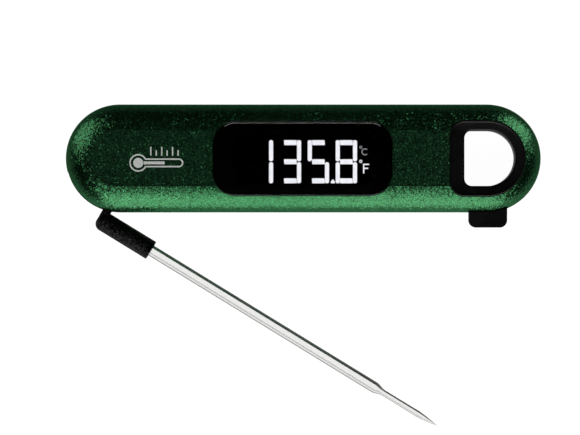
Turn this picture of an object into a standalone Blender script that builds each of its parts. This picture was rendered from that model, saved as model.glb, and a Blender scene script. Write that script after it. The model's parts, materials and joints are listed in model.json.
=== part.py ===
"""Folding-probe meat thermometer, built as the pieces it is assembled from.

It lies on its back: the flat back is at z = 0, the display looks up (+Z) and the length runs along X.
The origin is the centre of the flat back.  The probe is swung a little out of its folded place.
Sizes below are in millimetres; Blender's own units are metres.
"""
import math

import bpy

MM = 0.001
GAP = 0.3                    # room left between pieces that touch
REACH = 25.0                 # cutters run this far, so that they end clear of the casing
BELOW = -1.0                 # and start this low when they open to the back

# casing
BODY_LENGTH = 166.2
BODY_WIDTH = 37.8
END_RADIUS = BODY_WIDTH / 2
END_X = BODY_LENGTH / 2 - END_RADIUS
PARTING_Z = 10.0             # height of the joint between the two shells
WALL = 2.2
FLOOR_Z = 2.4                # inside of the back shell
CEILING_Z = 16.3             # inside of the front shell
BACK_EDGE_RUN = 4.0          # rounding of the back edge: inwards, and up
BACK_EDGE_RISE = 5.0
FRONT_CAVITY_DRAFT = 2.0     # how far the cavity closes in towards each face
BACK_CAVITY_DRAFT = 2.2
REBATE_DEPTH = 0.9           # groove for the gasket, from the cavity's wall
REBATE_HALF_HEIGHT = 0.7
GASKET_INSETS = (0.65, 0.05)
GASKET_HALF_HEIGHT = 0.45
RIM_START_Z = 12.0           # from here the rim follows an ellipse with these two half axes
RIM_RUN = 12.0
RIM_RISE = 7.61
RIM_EDGE = 9.0               # where the rim stops short of the panel, still sloping a little
PANEL_INSET = 9.2            # the flat face panel inside the rim
PANEL_Z = 18.8

# display
LENS_X = -0.25
LENS_LENGTH = 62.6
LENS_WIDTH = 25.9
LENS_CORNER = 8.0
LENS_TOP_Z = 20.0
LENS_BOTTOM_Z = 18.3
LEDGE_Z = 17.5               # ledge in the front shell under the lens
WINDOW_LENGTH = 55.2
WINDOW_WIDTH = 19.2
GLASS_LENGTH = 54.4
GLASS_WIDTH = 18.4
GLASS_Z = (15.3, 17.2)
FRAME_LENGTH = 59.0
FRAME_WIDTH = 24.0
WINDOW_CORNER = 1.5
BACKLIGHT_SIZE = (46.0, 13.8)
BACKLIGHT_SHIFT = -1.5       # along X, to leave room for its lamp
BACKLIGHT_BOTTOM_Z = 12.6
LAMP_X = (22.3, 23.9)        # from the lens's middle
LAMP_HALF_WIDTH = 1.5
LAMP_TOP_Z = 13.6
CONNECTOR_Y = (7.3, 8.9)
CONNECTOR_HALF_LENGTH = 24.0

# hang opening near the right end, a D shape
LOOP_X = 64.3                # centre of its round side
LOOP_LEFT = 56.2
LOOP_RADIUS = 9.65
LOOP_CORNER = 2.6
COLLAR_LEFT = 51.2           # the liner's visible collar
COLLAR_RADIUS = 13.2
COLLAR_CORNER = 5.0
COLLAR_Z = (18.1, 20.1)
COLLAR_ROUND = 0.6           # rounding of the collar's outer edge
COLLAR_LEAD_IN = (0.7, 0.9)  # rounding of its inner edge: outwards, and down
LINER_WALL = 1.6
LINER_FOOT = (0.4, 0.9)      # its lower end, and where the bore starts to open there

# guard over the needle's tip
GUARD_X = (57.9, 71.3)
GUARD_Y = -24.2
GUARD_Z = (5.6, 14.4)
GUARD_CORNER = 2.0
GUARD_INNER_Y = -16.0        # inside the casing's wall, so that the seat trims it
GUARD_NECK_Y = (-20.0, -14.6)
GUARD_NECK_X = (58.2, 68.3)
GUARD_NECK_Z = (5.4, 8.6)
GUARD_FLANGE_Y = (-15.1, -14.0)
GUARD_FLANGE_Z = (4.2, 9.4)
GUARD_SEAT = 0.6             # depth of the guard's seat in the casing's side
GROOVE_WIDTH = 2.8
GROOVE_TOP_Y = -21.2

# probe; lengths along it are counted from the pivot
PIVOT_X = -67.0
PIVOT_Y = -15.6
PROBE_Z = 10.0
PROBE_ANGLE = math.radians(-31.5)
CRANK = 7.0                  # from the pivot axis to the probe's own axis
HUB_RADIUS = 3.1
HUB_Z = (7.0, 13.0)
HUB_ROOM = 0.35              # round the hub in the casing
WEB_X = (-1.5, 1.5)
WEB_TOP_Y = -1.5
SLEEVE_RADIUS = 3.5
SLEEVE_X = (-1.5, 20.4)
SLEEVE_END_ROUND = 2.6
ROD_RADIUS = 2.0
ROD_BORE = 1.6
ROD_X = (7.1, 111.8)
ROD_ROOM = 0.2               # round the rod in the sleeve
LEAD_BORE = 1.25             # from the hub into the sleeve
LEAD_BORE_START = 1.2
NEEDLE_RADIUS = 1.1
NEEDLE_BORE = 0.7
NEEDLE_X = (116.0, 130.1)
TIP_X = 138.0
TIP_LENGTH = 4.0             # the last, steepest stretch of the point
SLOT_Z = (6.2, 13.8)         # slot in the casing that the probe arm swings in
SLOT_RIGHT = 1.9             # right side of the slot's upper part, from the pivot
SLOT_TOP = 10.75             # top of the slot, from the pivot
SLOT_WALL = 1.6
CAVITY_SHOULDER_Y = (2.0, 5.5)   # where the cavity steps back round the slot, from the pivot
BED_DEPTH = 0.3              # flat beside the folded sleeve

# pivot
PIN_RADIUS = 1.0
PIN_Z = (4.2, 15.0)
BUSH_RADIUS = 1.7
BUSH_BORE = 1.2
BUSH_LENGTH = 0.6
BUSH_RECESS = 0.1            # how far the bush lies behind the slot's wall
BUSH_ROOM = 0.15             # behind the bush and behind the pin
BUSH_SIDE_ROOM = 0.2
PIN_ROOM = 0.15              # round the pin in the hub
WASHER_RADIUS = 2.7

# electronics
BOARD_Z = (10.3, 11.9)
BOARD_LEFT = -40.7
BOARD_RIGHT = 42.3
BOARD_HALF_WIDTH = 14.5
TONGUE_LEFT = -61.0
TONGUE_HALF_WIDTH = 8.0
SOLDER_Z = 10.0              # top of what hangs under the board
CHIP = (-8.0, 3.0, 9.0, 9.0) # centre, length and width
CHIP_BOTTOM_Z = 8.6
SENSOR_X = (-60.0, -57.0)
SENSOR_Y = (-7.2, -3.2)
SENSOR_BOTTOM_Z = 8.8
SWITCH_HALF_WIDTH = 3.0
SWITCH_BOTTOM_Z = 8.0
SWITCH_BORE = 1.2

# unit button, on the back
BUTTON_X = -25.0
BUTTON_RADIUS = 4.5
BUTTON_ROOM = 0.35
BUTTON_FLANGE = 1.5          # how far its flange stands out inside the casing
BUTTON_SEAL_Z = (2.6, 3.1)
BUTTON_SEAL_ROOM = 0.45
PLUNGER_RADIUS = 0.9
PLUNGER_Z = (7.0, 8.7)

# coin cell and its door, on the back
CELL_X = 28.0
CELL_RADIUS = 10.0
CELL_Z = (4.1, 7.3)
DOOR_RADIUS = 13.6
DOOR_HOLE_RADIUS = 12.0
DOOR_NECK_RADIUS = 11.6
DOOR_TOP_Z = 3.7
DOOR_RECESS_Z = 1.75
DOOR_HOLE_Z = 4.0
DOOR_SEAL_Z = (1.12, 1.6)
DOOR_SEAL_WIDTH = 0.6
LUG_Z = (2.8, 3.6)
COIN_SLOT = (15.0, 2.2)      # length and width
COIN_SLOT_DEPTH_Z = 1.9
HOLDER_ROOM = 0.35
HOLDER_WALL = 1.15
LUG_RADIUS = 12.7
LUG_SPAN = math.radians(40)
NOTCH_TURN = math.radians(-45)   # from the locked lugs round to the notches that let them out

# screws
CASE_SCREWS = ((-56.0, 12.2), (-44.0, -12.2), (45.5, 12.2), (45.5, -12.2))
BOARD_SCREWS = ((-37.0, 11.0), (-37.0, -11.0), (38.0, 11.0), (38.0, -11.0))
CASE_POST_RADIUS = 2.6
BOARD_POST_RADIUS = 2.0
CASE_PILOT = (1.1, 9.0, 15.0)    # radius, bottom and top of the hole each screw bites into
BOARD_PILOT = (0.9, 11.0, 15.2)
CASE_CLEARANCE = (1.15, -1.0, 11.0)
BOARD_CLEARANCE = (1.0, 9.0, 13.0)
SCREW_RECESS = (2.0, -1.0, 2.4)  # for a case screw's head
CASE_SCREW_PROFILE = ((1.4, 0.6), (1.7, 0.9), (1.7, 2.1), (0.85, 2.1), (0.85, 13.6), (0.3, 14.3))
BOARD_SCREW_PROFILE = ((1.2, 8.8), (1.5, 9.1), (1.5, 10.0), (0.65, 10.0), (0.65, 14.2), (0.25, 14.7))
CROSS_SIZE = (0.85, 0.2)         # half length and half width of the driver's cross
CROSS_DEPTH = 0.6

# leads
BOARD_LEAD_RADIUS = 0.25
BOARD_LEAD_PITCH = 1.6
BOARD_LEAD_ROUTE = ((-61.0, -12.4, 8.2), (-60.2, -11.6, 8.0), (-59.0, -9.9, 8.1), (-56.6, -7.9, 8.6),
                    (-54.6, -6.8, 9.2), (-53.4, -6.3, 9.7))
PROBE_LEAD_RADIUS = 0.16
PROBE_LEAD_X = (5.2, 124.7)
PROBE_LEAD_OFFSET = 0.27
BEAD_PROFILE = ((125.0, 0.2), (125.5, 0.38), (128.0, 0.38), (128.6, 0.2))
MAGNET_X = (1.5, 4.2)
MAGNET_RADIUS = 1.0

# name: colour, metallic, roughness
FINISHES = {
    "green_paint": ((0.02, 0.16, 0.06, 1.0), 0.6, 0.35),
    "gloss_black": ((0.01, 0.01, 0.01, 1.0), 0.0, 0.12),
    "soft_black": ((0.015, 0.015, 0.015, 1.0), 0.0, 0.55),
    "steel": ((0.75, 0.75, 0.76, 1.0), 1.0, 0.22),
    "zinc": ((0.62, 0.62, 0.64, 1.0), 1.0, 0.4),
    "brass": ((0.78, 0.6, 0.28, 1.0), 1.0, 0.35),
    "silicone": ((0.32, 0.32, 0.33, 1.0), 0.0, 0.7),
    "board_green": ((0.03, 0.2, 0.08, 1.0), 0.0, 0.5),
    "white_plastic": ((0.85, 0.86, 0.86, 1.0), 0.0, 0.4),
    "panel_glass": ((0.05, 0.06, 0.06, 1.0), 0.0, 0.08),
}


# ---------------------------------------------------------------- outlines

def arc(cx, cy, radius, start, end, steps):
    """Points of an arc, both ends included; angles in degrees."""
    points = []
    for i in range(steps + 1):
        angle = math.radians(start + (end - start) * i / steps)
        points.append((cx + radius * math.cos(angle), cy + radius * math.sin(angle)))
    return points


def circle(radius, segments=24, cx=0.0, cy=0.0):
    return arc(cx, cy, radius, 0, 360 * (segments - 1) / segments, segments - 1)


def rectangle(x0, x1, y0, y1):
    return [(x0, y0), (x1, y0), (x1, y1), (x0, y1)]


def rounded_rectangle(cx, cy, length, width, corner, steps=5):
    x = length / 2 - corner
    y = width / 2 - corner
    points = []
    for px, py, start in ((x, y, 0), (-x, y, 90), (-x, -y, 180), (x, -y, 270)):
        points += arc(cx + px, cy + py, corner, start, start + 90, steps)
    return points


def stadium(inset, steps=20):
    """The casing's outline, moved inwards by inset."""
    radius = END_RADIUS - inset
    return arc(END_X, 0, radius, -90, 90, steps) + arc(-END_X, 0, radius, 90, 270, steps)


def d_shape(left, radius, corner, steps=20):
    """The hang opening's outline: round on the right, with two small corners on the left."""
    points = arc(LOOP_X, 0, radius, -90, 90, steps)
    points += arc(left + corner, radius - corner, corner, 90, 180, 4)
    points += arc(left + corner, -radius + corner, corner, 180, 270, 4)
    return points


def cavity_outline(inset, steps=16):
    """Inside of the casing: the stadium without the corner that the probe arm swings in."""
    wall = SLOT_WALL - (WALL - inset)
    radius = END_RADIUS - inset
    right = PIVOT_X + HUB_RADIUS + HUB_ROOM + wall
    shoulder = PIVOT_X + SLOT_RIGHT + wall
    top = PIVOT_Y + SLOT_TOP + wall
    end_angle = 180 - math.degrees(math.asin(top / radius))
    points = [(right, -radius)]
    points += arc(END_X, 0, radius, -90, 90, steps)
    points += arc(-END_X, 0, radius, 90, end_angle, steps)
    low_step, high_step = CAVITY_SHOULDER_Y
    points += [(shoulder, top), (shoulder, PIVOT_Y + high_step), (right, PIVOT_Y + low_step)]
    return points


def slot_outline():
    """Plan of the slot that the probe arm swings in, open to the left and below."""
    radius = HUB_RADIUS + HUB_ROOM
    meet = math.degrees(math.acos(SLOT_RIGHT / radius))
    points = [(PIVOT_X + radius, PIVOT_Y - REACH)]
    points += arc(PIVOT_X, PIVOT_Y, radius, 0, meet, 6)
    points += [(PIVOT_X + SLOT_RIGHT, PIVOT_Y + SLOT_TOP), (PIVOT_X - REACH, PIVOT_Y + SLOT_TOP)]
    points.append((PIVOT_X - REACH, PIVOT_Y - REACH))
    return points


def sector(radius, middle, span, steps=6):
    """A pie slice about the origin; angles in radians."""
    start = math.degrees(middle - span / 2)
    return [(0.0, 0.0)] + arc(0, 0, radius, start, start + math.degrees(span), steps)


def cross(arm, half_width):
    """Outline of a cross recess."""
    points = []
    for quarter in range(4):
        angle = quarter * math.pi / 2
        for x, y in ((arm, -half_width), (arm, half_width), (half_width, half_width)):
            points.append((x * math.cos(angle) - y * math.sin(angle),
                           x * math.sin(angle) + y * math.cos(angle)))
    return points


# ---------------------------------------------------------------- modelling helpers

def clear_scene():
    for item in list(bpy.data.objects):
        bpy.data.objects.remove(item, do_unlink=True)


def make_materials():
    materials = {}
    for name, (colour, metallic, roughness) in FINISHES.items():
        material = bpy.data.materials.new(name)
        material.use_nodes = True
        shader = material.node_tree.nodes["Principled BSDF"]
        shader.inputs["Base Color"].default_value = colour
        shader.inputs["Metallic"].default_value = metallic
        shader.inputs["Roughness"].default_value = roughness
        materials[name] = material
    return materials


def add_mesh(name, rings, closed=False):
    """Skin a row of rings of equal length; the ends are capped unless the row closes on itself."""
    count = len(rings[0])
    points = [(x * MM, y * MM, z * MM) for ring in rings for x, y, z in ring]
    faces = []
    last = len(rings) if closed else len(rings) - 1
    for i in range(last):
        a = i * count
        b = (i + 1) % len(rings) * count
        for j in range(count):
            k = (j + 1) % count
            faces.append((a + j, a + k, b + k, b + j))
    if not closed:
        faces.append(tuple(reversed(range(count))))
        faces.append(tuple(range((len(rings) - 1) * count, len(rings) * count)))
    mesh = bpy.data.meshes.new(name)
    mesh.from_pydata(points, [], faces)
    mesh.shade_smooth()
    mesh.set_sharp_from_angle(angle=math.radians(35))
    item = bpy.data.objects.new(name, mesh)
    bpy.context.scene.collection.objects.link(item)
    return item


def level(outline, z):
    return [(x, y, z) for x, y in outline]


def prism(name, outline, z0, z1):
    return add_mesh(name, [level(outline, z0), level(outline, z1)])


def tube(name, outer, inner, z0, z1):
    """A ring between two outlines of equal length."""
    rings = [level(outer, z0), level(outer, z1), level(inner, z1), level(inner, z0)]
    return add_mesh(name, rings, closed=True)


def turned(name, profile, segments=24, closed=False):
    """A solid turned about Z from (radius, z) points that run upwards on the outside."""
    return add_mesh(name, [level(circle(radius, segments), z) for radius, z in profile], closed)


def turned_along_x(name, profile, y, z, segments=24):
    """A solid turned about a line along X from (x, radius) points."""
    rings = []
    for x, radius in profile:
        rings.append([(x, y + radius * math.cos(t), z + radius * math.sin(t))
                      for t in (2 * math.pi * i / segments for i in range(segments))])
    return add_mesh(name, rings)


def strip(name, path, thickness, half_width):
    """A bent metal strip: a path of (x, z) points, with a thickness and a width along Y."""
    upper = []
    lower = []
    for i, (x, z) in enumerate(path):
        before = path[max(i - 1, 0)]
        after = path[min(i + 1, len(path) - 1)]
        length = math.hypot(after[0] - before[0], after[1] - before[1])
        nx = -(after[1] - before[1]) / length * thickness / 2
        nz = (after[0] - before[0]) / length * thickness / 2
        upper.append((x + nx, z + nz))
        lower.append((x - nx, z - nz))
    outline = lower + upper[::-1]
    rings = [[(x, y, z) for x, z in outline] for y in (half_width, -half_width)]
    return add_mesh(name, rings)


def boolean(item, tool, operation):
    modifier = item.modifiers.new(tool.name, "BOOLEAN")
    modifier.operation = operation
    modifier.solver = "EXACT"
    modifier.object = tool
    tool.hide_render = True
    tool.display_type = "WIRE"


def cut(item, *tools):
    for tool in tools:
        boolean(item, tool, "DIFFERENCE")


def join(item, *tools):
    for tool in tools:
        boolean(item, tool, "UNION")


def finish(item, material):
    item.data.materials.append(material)
    return item


def place(item, x, y):
    item.location = (x * MM, y * MM, 0)
    return item


def guide_cylinder(name, x, y, radius, z0, z1, segments=20):
    return prism(name, circle(radius, segments, x, y), z0, z1)


# ---------------------------------------------------------------- casing

def rim_profile():
    """(inset, z) points up the front shell's outside, over the rim and down to the panel."""
    points = [(0.0, PARTING_Z + GAP / 2)]
    steps = 9
    edge_angle = math.acos(1 - RIM_EDGE / RIM_RUN)
    for i in range(steps + 1):
        angle = edge_angle * i / steps
        points.append((RIM_RUN * (1 - math.cos(angle)), RIM_START_Z + RIM_RISE * math.sin(angle)))
    points.append((PANEL_INSET, PANEL_Z))
    return points


def back_profile():
    """(inset, z) points from the flat back round its edge and up to the parting line."""
    points = []
    steps = 5
    for i in range(steps + 1):
        angle = math.pi / 2 * i / steps
        points.append((BACK_EDGE_RUN * (1 - math.sin(angle)), BACK_EDGE_RISE * (1 - math.cos(angle))))
    points.append((0.0, PARTING_Z - GAP / 2))
    return points


def probe_slot_cutters(side):
    """The slot for the probe arm, and the shallow bed beside the folded sleeve."""
    slot = prism(side + "_slot_guide", slot_outline(), *SLOT_Z)
    bed_end = PIVOT_X + SLEEVE_X[1] + 2 * GAP
    bed_outline = rectangle(PIVOT_X, bed_end, -END_RADIUS - REACH, -END_RADIUS + BED_DEPTH)
    bed = prism(side + "_bed_guide", bed_outline, *SLOT_Z)
    return slot, bed


def guard_seat_cutter(side):
    """A shallow seat in the casing's side, so that no light shows between casing and guard."""
    outline = rectangle(GUARD_X[0] - GAP, GUARD_X[1] + GAP, -END_RADIUS - REACH, GUARD_FLANGE_Y[1])
    seat = prism(side + "_seat_guide", outline, GUARD_Z[0] - GAP, GUARD_Z[1] + GAP)
    cut(seat, prism(side + "_seat_floor_guide", stadium(GUARD_SEAT), 0, REACH))
    return seat


def guard_notch_cutter():
    x0, x1 = GUARD_NECK_X
    outline = rectangle(x0 - GAP, x1 + GAP, -END_RADIUS - REACH, GUARD_FLANGE_Y[1])
    return prism("guard_notch_guide", outline, GUARD_NECK_Z[0] - GAP, GUARD_NECK_Z[1] + GAP)


def loop_hole_cutter(side):
    spread = LINER_WALL + GAP
    outline = d_shape(LOOP_LEFT - spread, LOOP_RADIUS + spread, LOOP_CORNER + spread)
    return prism(side + "_loop_guide", outline, BELOW, REACH)


def gasket_rebate_cutter(side):
    z0, z1 = PARTING_Z - REBATE_HALF_HEIGHT, PARTING_Z + REBATE_HALF_HEIGHT
    return prism(side + "_rebate_guide", cavity_outline(WALL - REBATE_DEPTH), z0, z1)


def make_front_shell(material):
    shell = add_mesh("front_shell", [level(stadium(inset), z) for inset, z in rim_profile()])
    cavity = add_mesh("front_cavity_guide", [
        level(cavity_outline(WALL), PARTING_Z - 1),
        level(cavity_outline(WALL), RIM_START_Z),
        level(cavity_outline(WALL + FRONT_CAVITY_DRAFT), CEILING_Z),
    ])
    for i, (x, y) in enumerate(CASE_SCREWS):
        cut(cavity, guide_cylinder(f"front_post_guide_{i}", x, y, CASE_POST_RADIUS, PARTING_Z + GAP, REACH))
    for i, (x, y) in enumerate(BOARD_SCREWS):
        cut(cavity, guide_cylinder(f"board_post_guide_{i}", x, y, BOARD_POST_RADIUS, BOARD_Z[1] + GAP, REACH))
    cut(shell, cavity, gasket_rebate_cutter("front"), *probe_slot_cutters("front"))
    cut(shell, guard_seat_cutter("front"), loop_hole_cutter("front"))
    lens_outline = rounded_rectangle(LENS_X, 0, LENS_LENGTH + 2 * GAP, LENS_WIDTH + 2 * GAP, LENS_CORNER)
    window_outline = rounded_rectangle(LENS_X, 0, WINDOW_LENGTH, WINDOW_WIDTH, WINDOW_CORNER, 3)
    collar_outline = d_shape(COLLAR_LEFT - GAP, COLLAR_RADIUS + GAP, COLLAR_CORNER + GAP)
    cut(shell, prism("lens_seat_guide", lens_outline, LEDGE_Z, REACH))
    cut(shell, prism("window_guide", window_outline, SLOT_Z[1], REACH))
    cut(shell, prism("collar_seat_guide", collar_outline, COLLAR_Z[0] - GAP, REACH))
    bush_end = SLOT_Z[1] + BUSH_RECESS + BUSH_LENGTH + BUSH_ROOM
    bush_radius = BUSH_RADIUS + BUSH_SIDE_ROOM
    cut(shell, guide_cylinder("front_bush_guide", PIVOT_X, PIVOT_Y, bush_radius, PROBE_Z, bush_end))
    cut(shell, guide_cylinder("front_pin_guide", PIVOT_X, PIVOT_Y, BUSH_BORE, PROBE_Z, PIN_Z[1] + BUSH_ROOM))
    for i, (x, y) in enumerate(CASE_SCREWS):
        cut(shell, guide_cylinder(f"front_screw_guide_{i}", x, y, *CASE_PILOT, 12))
    for i, (x, y) in enumerate(BOARD_SCREWS):
        cut(shell, guide_cylinder(f"board_screw_guide_{i}", x, y, *BOARD_PILOT, 12))
    return finish(shell, material)


def make_back_shell(material):
    shell = add_mesh("back_shell", [level(stadium(inset), z) for inset, z in back_profile()])
    cavity = add_mesh("back_cavity_guide", [
        level(cavity_outline(WALL + BACK_CAVITY_DRAFT), FLOOR_Z),
        level(cavity_outline(WALL), BACK_EDGE_RISE),
        level(cavity_outline(WALL), PARTING_Z + 1),
    ])
    for i, (x, y) in enumerate(CASE_SCREWS):
        cut(cavity, guide_cylinder(f"back_post_guide_{i}", x, y, CASE_POST_RADIUS, BELOW, PARTING_Z - GAP))
    cut(shell, cavity, gasket_rebate_cutter("back"), *probe_slot_cutters("back"))
    cut(shell, guard_seat_cutter("back"), guard_notch_cutter(), loop_hole_cutter("back"))
    bush_end = SLOT_Z[0] - BUSH_RECESS - BUSH_LENGTH - BUSH_ROOM
    bush_radius = BUSH_RADIUS + BUSH_SIDE_ROOM
    cut(shell, guide_cylinder("back_bush_guide", PIVOT_X, PIVOT_Y, bush_radius, bush_end, HUB_Z[0]))
    cut(shell, guide_cylinder("back_pin_guide", PIVOT_X, PIVOT_Y, BUSH_BORE, PIN_Z[0] - BUSH_ROOM, HUB_Z[0]))
    button_hole = BUTTON_RADIUS + BUTTON_ROOM
    cut(shell, guide_cylinder("button_hole_guide", BUTTON_X, 0, button_hole, BELOW, FLOOR_Z + 1))
    cut(shell, guide_cylinder("door_recess_guide", CELL_X, 0, DOOR_RADIUS + GAP, BELOW, DOOR_RECESS_Z, 40))
    cut(shell, guide_cylinder("door_hole_guide", CELL_X, 0, DOOR_HOLE_RADIUS, BELOW, DOOR_HOLE_Z, 40))
    for side in (0, 1):
        middle = math.pi / 2 + NOTCH_TURN + side * math.pi
        outline = sector(LUG_RADIUS + 0.2, middle, LUG_SPAN + 0.1)
        notch = prism(f"door_notch_guide_{side}", outline, 1, DOOR_HOLE_Z)
        cut(shell, place(notch, CELL_X, 0))
    for i, (x, y) in enumerate(CASE_SCREWS):
        cut(shell, guide_cylinder(f"screw_head_guide_{i}", x, y, *SCREW_RECESS, 16))
        cut(shell, guide_cylinder(f"back_screw_guide_{i}", x, y, *CASE_CLEARANCE, 12))
    return finish(shell, material)


def make_gasket(material):
    outer, inner = (cavity_outline(WALL - inset) for inset in GASKET_INSETS)
    z0, z1 = PARTING_Z - GASKET_HALF_HEIGHT, PARTING_Z + GASKET_HALF_HEIGHT
    return finish(tube("shell_gasket", outer, inner, z0, z1), material)


def make_loop_liner(material):
    """The black liner: a collar on the face, and a sleeve through to the back."""
    collar = (COLLAR_LEFT, COLLAR_RADIUS, COLLAR_CORNER)
    barrel = (LOOP_LEFT - LINER_WALL, LOOP_RADIUS + LINER_WALL, LOOP_CORNER + LINER_WALL)
    hole = (LOOP_LEFT, LOOP_RADIUS, LOOP_CORNER)
    out, down = COLLAR_LEAD_IN
    foot, bore_end = LINER_FOOT
    stations = (
        (collar, 0.0, COLLAR_Z[0]),
        (collar, 0.0, COLLAR_Z[1] - COLLAR_ROUND),
        (collar, COLLAR_ROUND, COLLAR_Z[1]),
        (hole, -out, COLLAR_Z[1]),
        (hole, 0.0, COLLAR_Z[1] - down),
        (hole, 0.0, bore_end),
        (hole, foot - bore_end, foot),
        (barrel, 0.0, foot),
        (barrel, 0.0, COLLAR_Z[0]),
    )
    rings = []
    for (left, radius, corner), inset, z in stations:
        rings.append(level(d_shape(left + inset, radius - inset, corner - inset), z))
    return finish(add_mesh("loop_liner", rings, closed=True), material)


def make_tip_guard(material):
    x0, x1 = GUARD_X
    corner = GUARD_CORNER
    outline = [(x1, GUARD_INNER_Y), (x0, GUARD_INNER_Y)]
    outline += arc(x0 + corner, GUARD_Y + corner, corner, 180, 270, 5)
    outline += arc(x1 - corner, GUARD_Y + corner, corner, 270, 360, 5)
    guard = prism("tip_guard", outline, *GUARD_Z)
    cut(guard, prism("guard_body_guide", stadium(GUARD_SEAT - GAP), 0, REACH))
    join(guard, prism("guard_neck_guide", rectangle(*GUARD_NECK_X, *GUARD_NECK_Y), *GUARD_NECK_Z))
    join(guard, prism("guard_flange_guide", rectangle(*GUARD_NECK_X, *GUARD_FLANGE_Y), *GUARD_FLANGE_Z))
    groove_z = (PROBE_Z - GROOVE_WIDTH / 2, PROBE_Z + GROOVE_WIDTH / 2)
    cut(guard, prism("guard_groove_guide", rectangle(x0 - 1, x1 + 1, GUARD_Y - 1, GROOVE_TOP_Y), *groove_z))
    return finish(guard, material)


# ---------------------------------------------------------------- display

def make_display(materials):
    lens_top = rounded_rectangle(LENS_X, 0, LENS_LENGTH - 1.0, LENS_WIDTH - 1.0, LENS_CORNER - 0.5)
    lens_side = rounded_rectangle(LENS_X, 0, LENS_LENGTH, LENS_WIDTH, LENS_CORNER)
    rings = [level(lens_side, LENS_BOTTOM_Z), level(lens_side, LENS_TOP_Z - 0.4), level(lens_top, LENS_TOP_Z)]
    finish(add_mesh("display_lens", rings), materials["gloss_black"])

    seal_outer = rounded_rectangle(LENS_X, 0, LENS_LENGTH - 0.6, LENS_WIDTH - 0.6, LENS_CORNER - 0.3)
    seal_inner = rounded_rectangle(LENS_X, 0, WINDOW_LENGTH + 0.6, WINDOW_WIDTH + 0.6, 4.0)
    seal = tube("lens_seal", seal_outer, seal_inner, LEDGE_Z + 0.25, LENS_BOTTOM_Z - 0.25)
    finish(seal, materials["silicone"])

    glass = rounded_rectangle(LENS_X, 0, GLASS_LENGTH, GLASS_WIDTH, 0.6, 2)
    finish(prism("lcd_glass", glass, *GLASS_Z), materials["panel_glass"])

    frame_outer = rounded_rectangle(LENS_X, 0, FRAME_LENGTH, FRAME_WIDTH, 2.0, 3)
    frame_inner = rounded_rectangle(LENS_X, 0, WINDOW_LENGTH, WINDOW_WIDTH, 1.0, 3)
    frame = tube("display_frame", frame_outer, frame_inner, BOARD_Z[1] + GAP, GLASS_Z[0] - GAP)
    finish(frame, materials["soft_black"])

    guide = rounded_rectangle(LENS_X + BACKLIGHT_SHIFT, 0, *BACKLIGHT_SIZE, 1.0, 2)
    finish(prism("backlight_guide", guide, BACKLIGHT_BOTTOM_Z, GLASS_Z[0] - GAP), materials["white_plastic"])
    lamp = rectangle(LENS_X + LAMP_X[0], LENS_X + LAMP_X[1], -LAMP_HALF_WIDTH, LAMP_HALF_WIDTH)
    finish(prism("backlight_led", lamp, BOARD_Z[1] + GAP, LAMP_TOP_Z), materials["white_plastic"])
    for side, name in ((1, "upper"), (-1, "lower")):
        y0, y1 = sorted(side * y for y in CONNECTOR_Y)
        outline = rectangle(LENS_X - CONNECTOR_HALF_LENGTH, LENS_X + CONNECTOR_HALF_LENGTH, y0, y1)
        connector = prism(f"lcd_connector_{name}", outline, BOARD_Z[1] + GAP, GLASS_Z[0] - GAP)
        finish(connector, materials["silicone"])


# ---------------------------------------------------------------- board and what is on it

def make_board(material):
    outline = [
        (TONGUE_LEFT, -TONGUE_HALF_WIDTH), (BOARD_LEFT, -TONGUE_HALF_WIDTH),
        (BOARD_LEFT, -BOARD_HALF_WIDTH), (BOARD_RIGHT, -BOARD_HALF_WIDTH),
        (BOARD_RIGHT, BOARD_HALF_WIDTH), (BOARD_LEFT, BOARD_HALF_WIDTH),
        (BOARD_LEFT, TONGUE_HALF_WIDTH), (TONGUE_LEFT, TONGUE_HALF_WIDTH),
    ]
    board = prism("circuit_board", outline, *BOARD_Z)
    for i, (x, y) in enumerate(BOARD_SCREWS):
        cut(board, guide_cylinder(f"board_hole_guide_{i}", x, y, *BOARD_CLEARANCE, 12))
    return finish(board, material)


def make_board_parts(materials):
    chip = rounded_rectangle(*CHIP, 0.4, 2)
    finish(prism("processor_chip", chip, CHIP_BOTTOM_Z, SOLDER_Z), materials["soft_black"])
    sensor = prism("fold_sensor", rectangle(*SENSOR_X, *SENSOR_Y), SENSOR_BOTTOM_Z, SOLDER_Z)
    finish(sensor, materials["soft_black"])
    half = SWITCH_HALF_WIDTH
    switch = prism("unit_switch", rectangle(BUTTON_X - half, BUTTON_X + half, -half, half),
                   SWITCH_BOTTOM_Z, SOLDER_Z)
    cut(switch, guide_cylinder("switch_bore_guide", BUTTON_X, 0, SWITCH_BORE, SWITCH_BOTTOM_Z - 1, 9.5, 16))
    finish(switch, materials["soft_black"])


def make_unit_button(materials):
    """Cap, retaining flange and stem; it is pressed towards +Z and works the switch."""
    r = BUTTON_RADIUS
    flange = r + BUTTON_FLANGE
    profile = [(r - 0.4, 0.35), (r, 0.75), (r, 3.4), (flange, 3.4), (flange, 4.2), (1.4, 4.2), (1.4, 6.7)]
    finish(place(turned("unit_button", profile), BUTTON_X, 0), materials["soft_black"])
    plunger = turned("switch_plunger", [(PLUNGER_RADIUS, z) for z in PLUNGER_Z], 16)
    finish(place(plunger, BUTTON_X, 0), materials["white_plastic"])
    seal = tube("button_seal", circle(flange), circle(r + BUTTON_SEAL_ROOM), *BUTTON_SEAL_Z)
    finish(place(seal, BUTTON_X, 0), materials["silicone"])


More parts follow.
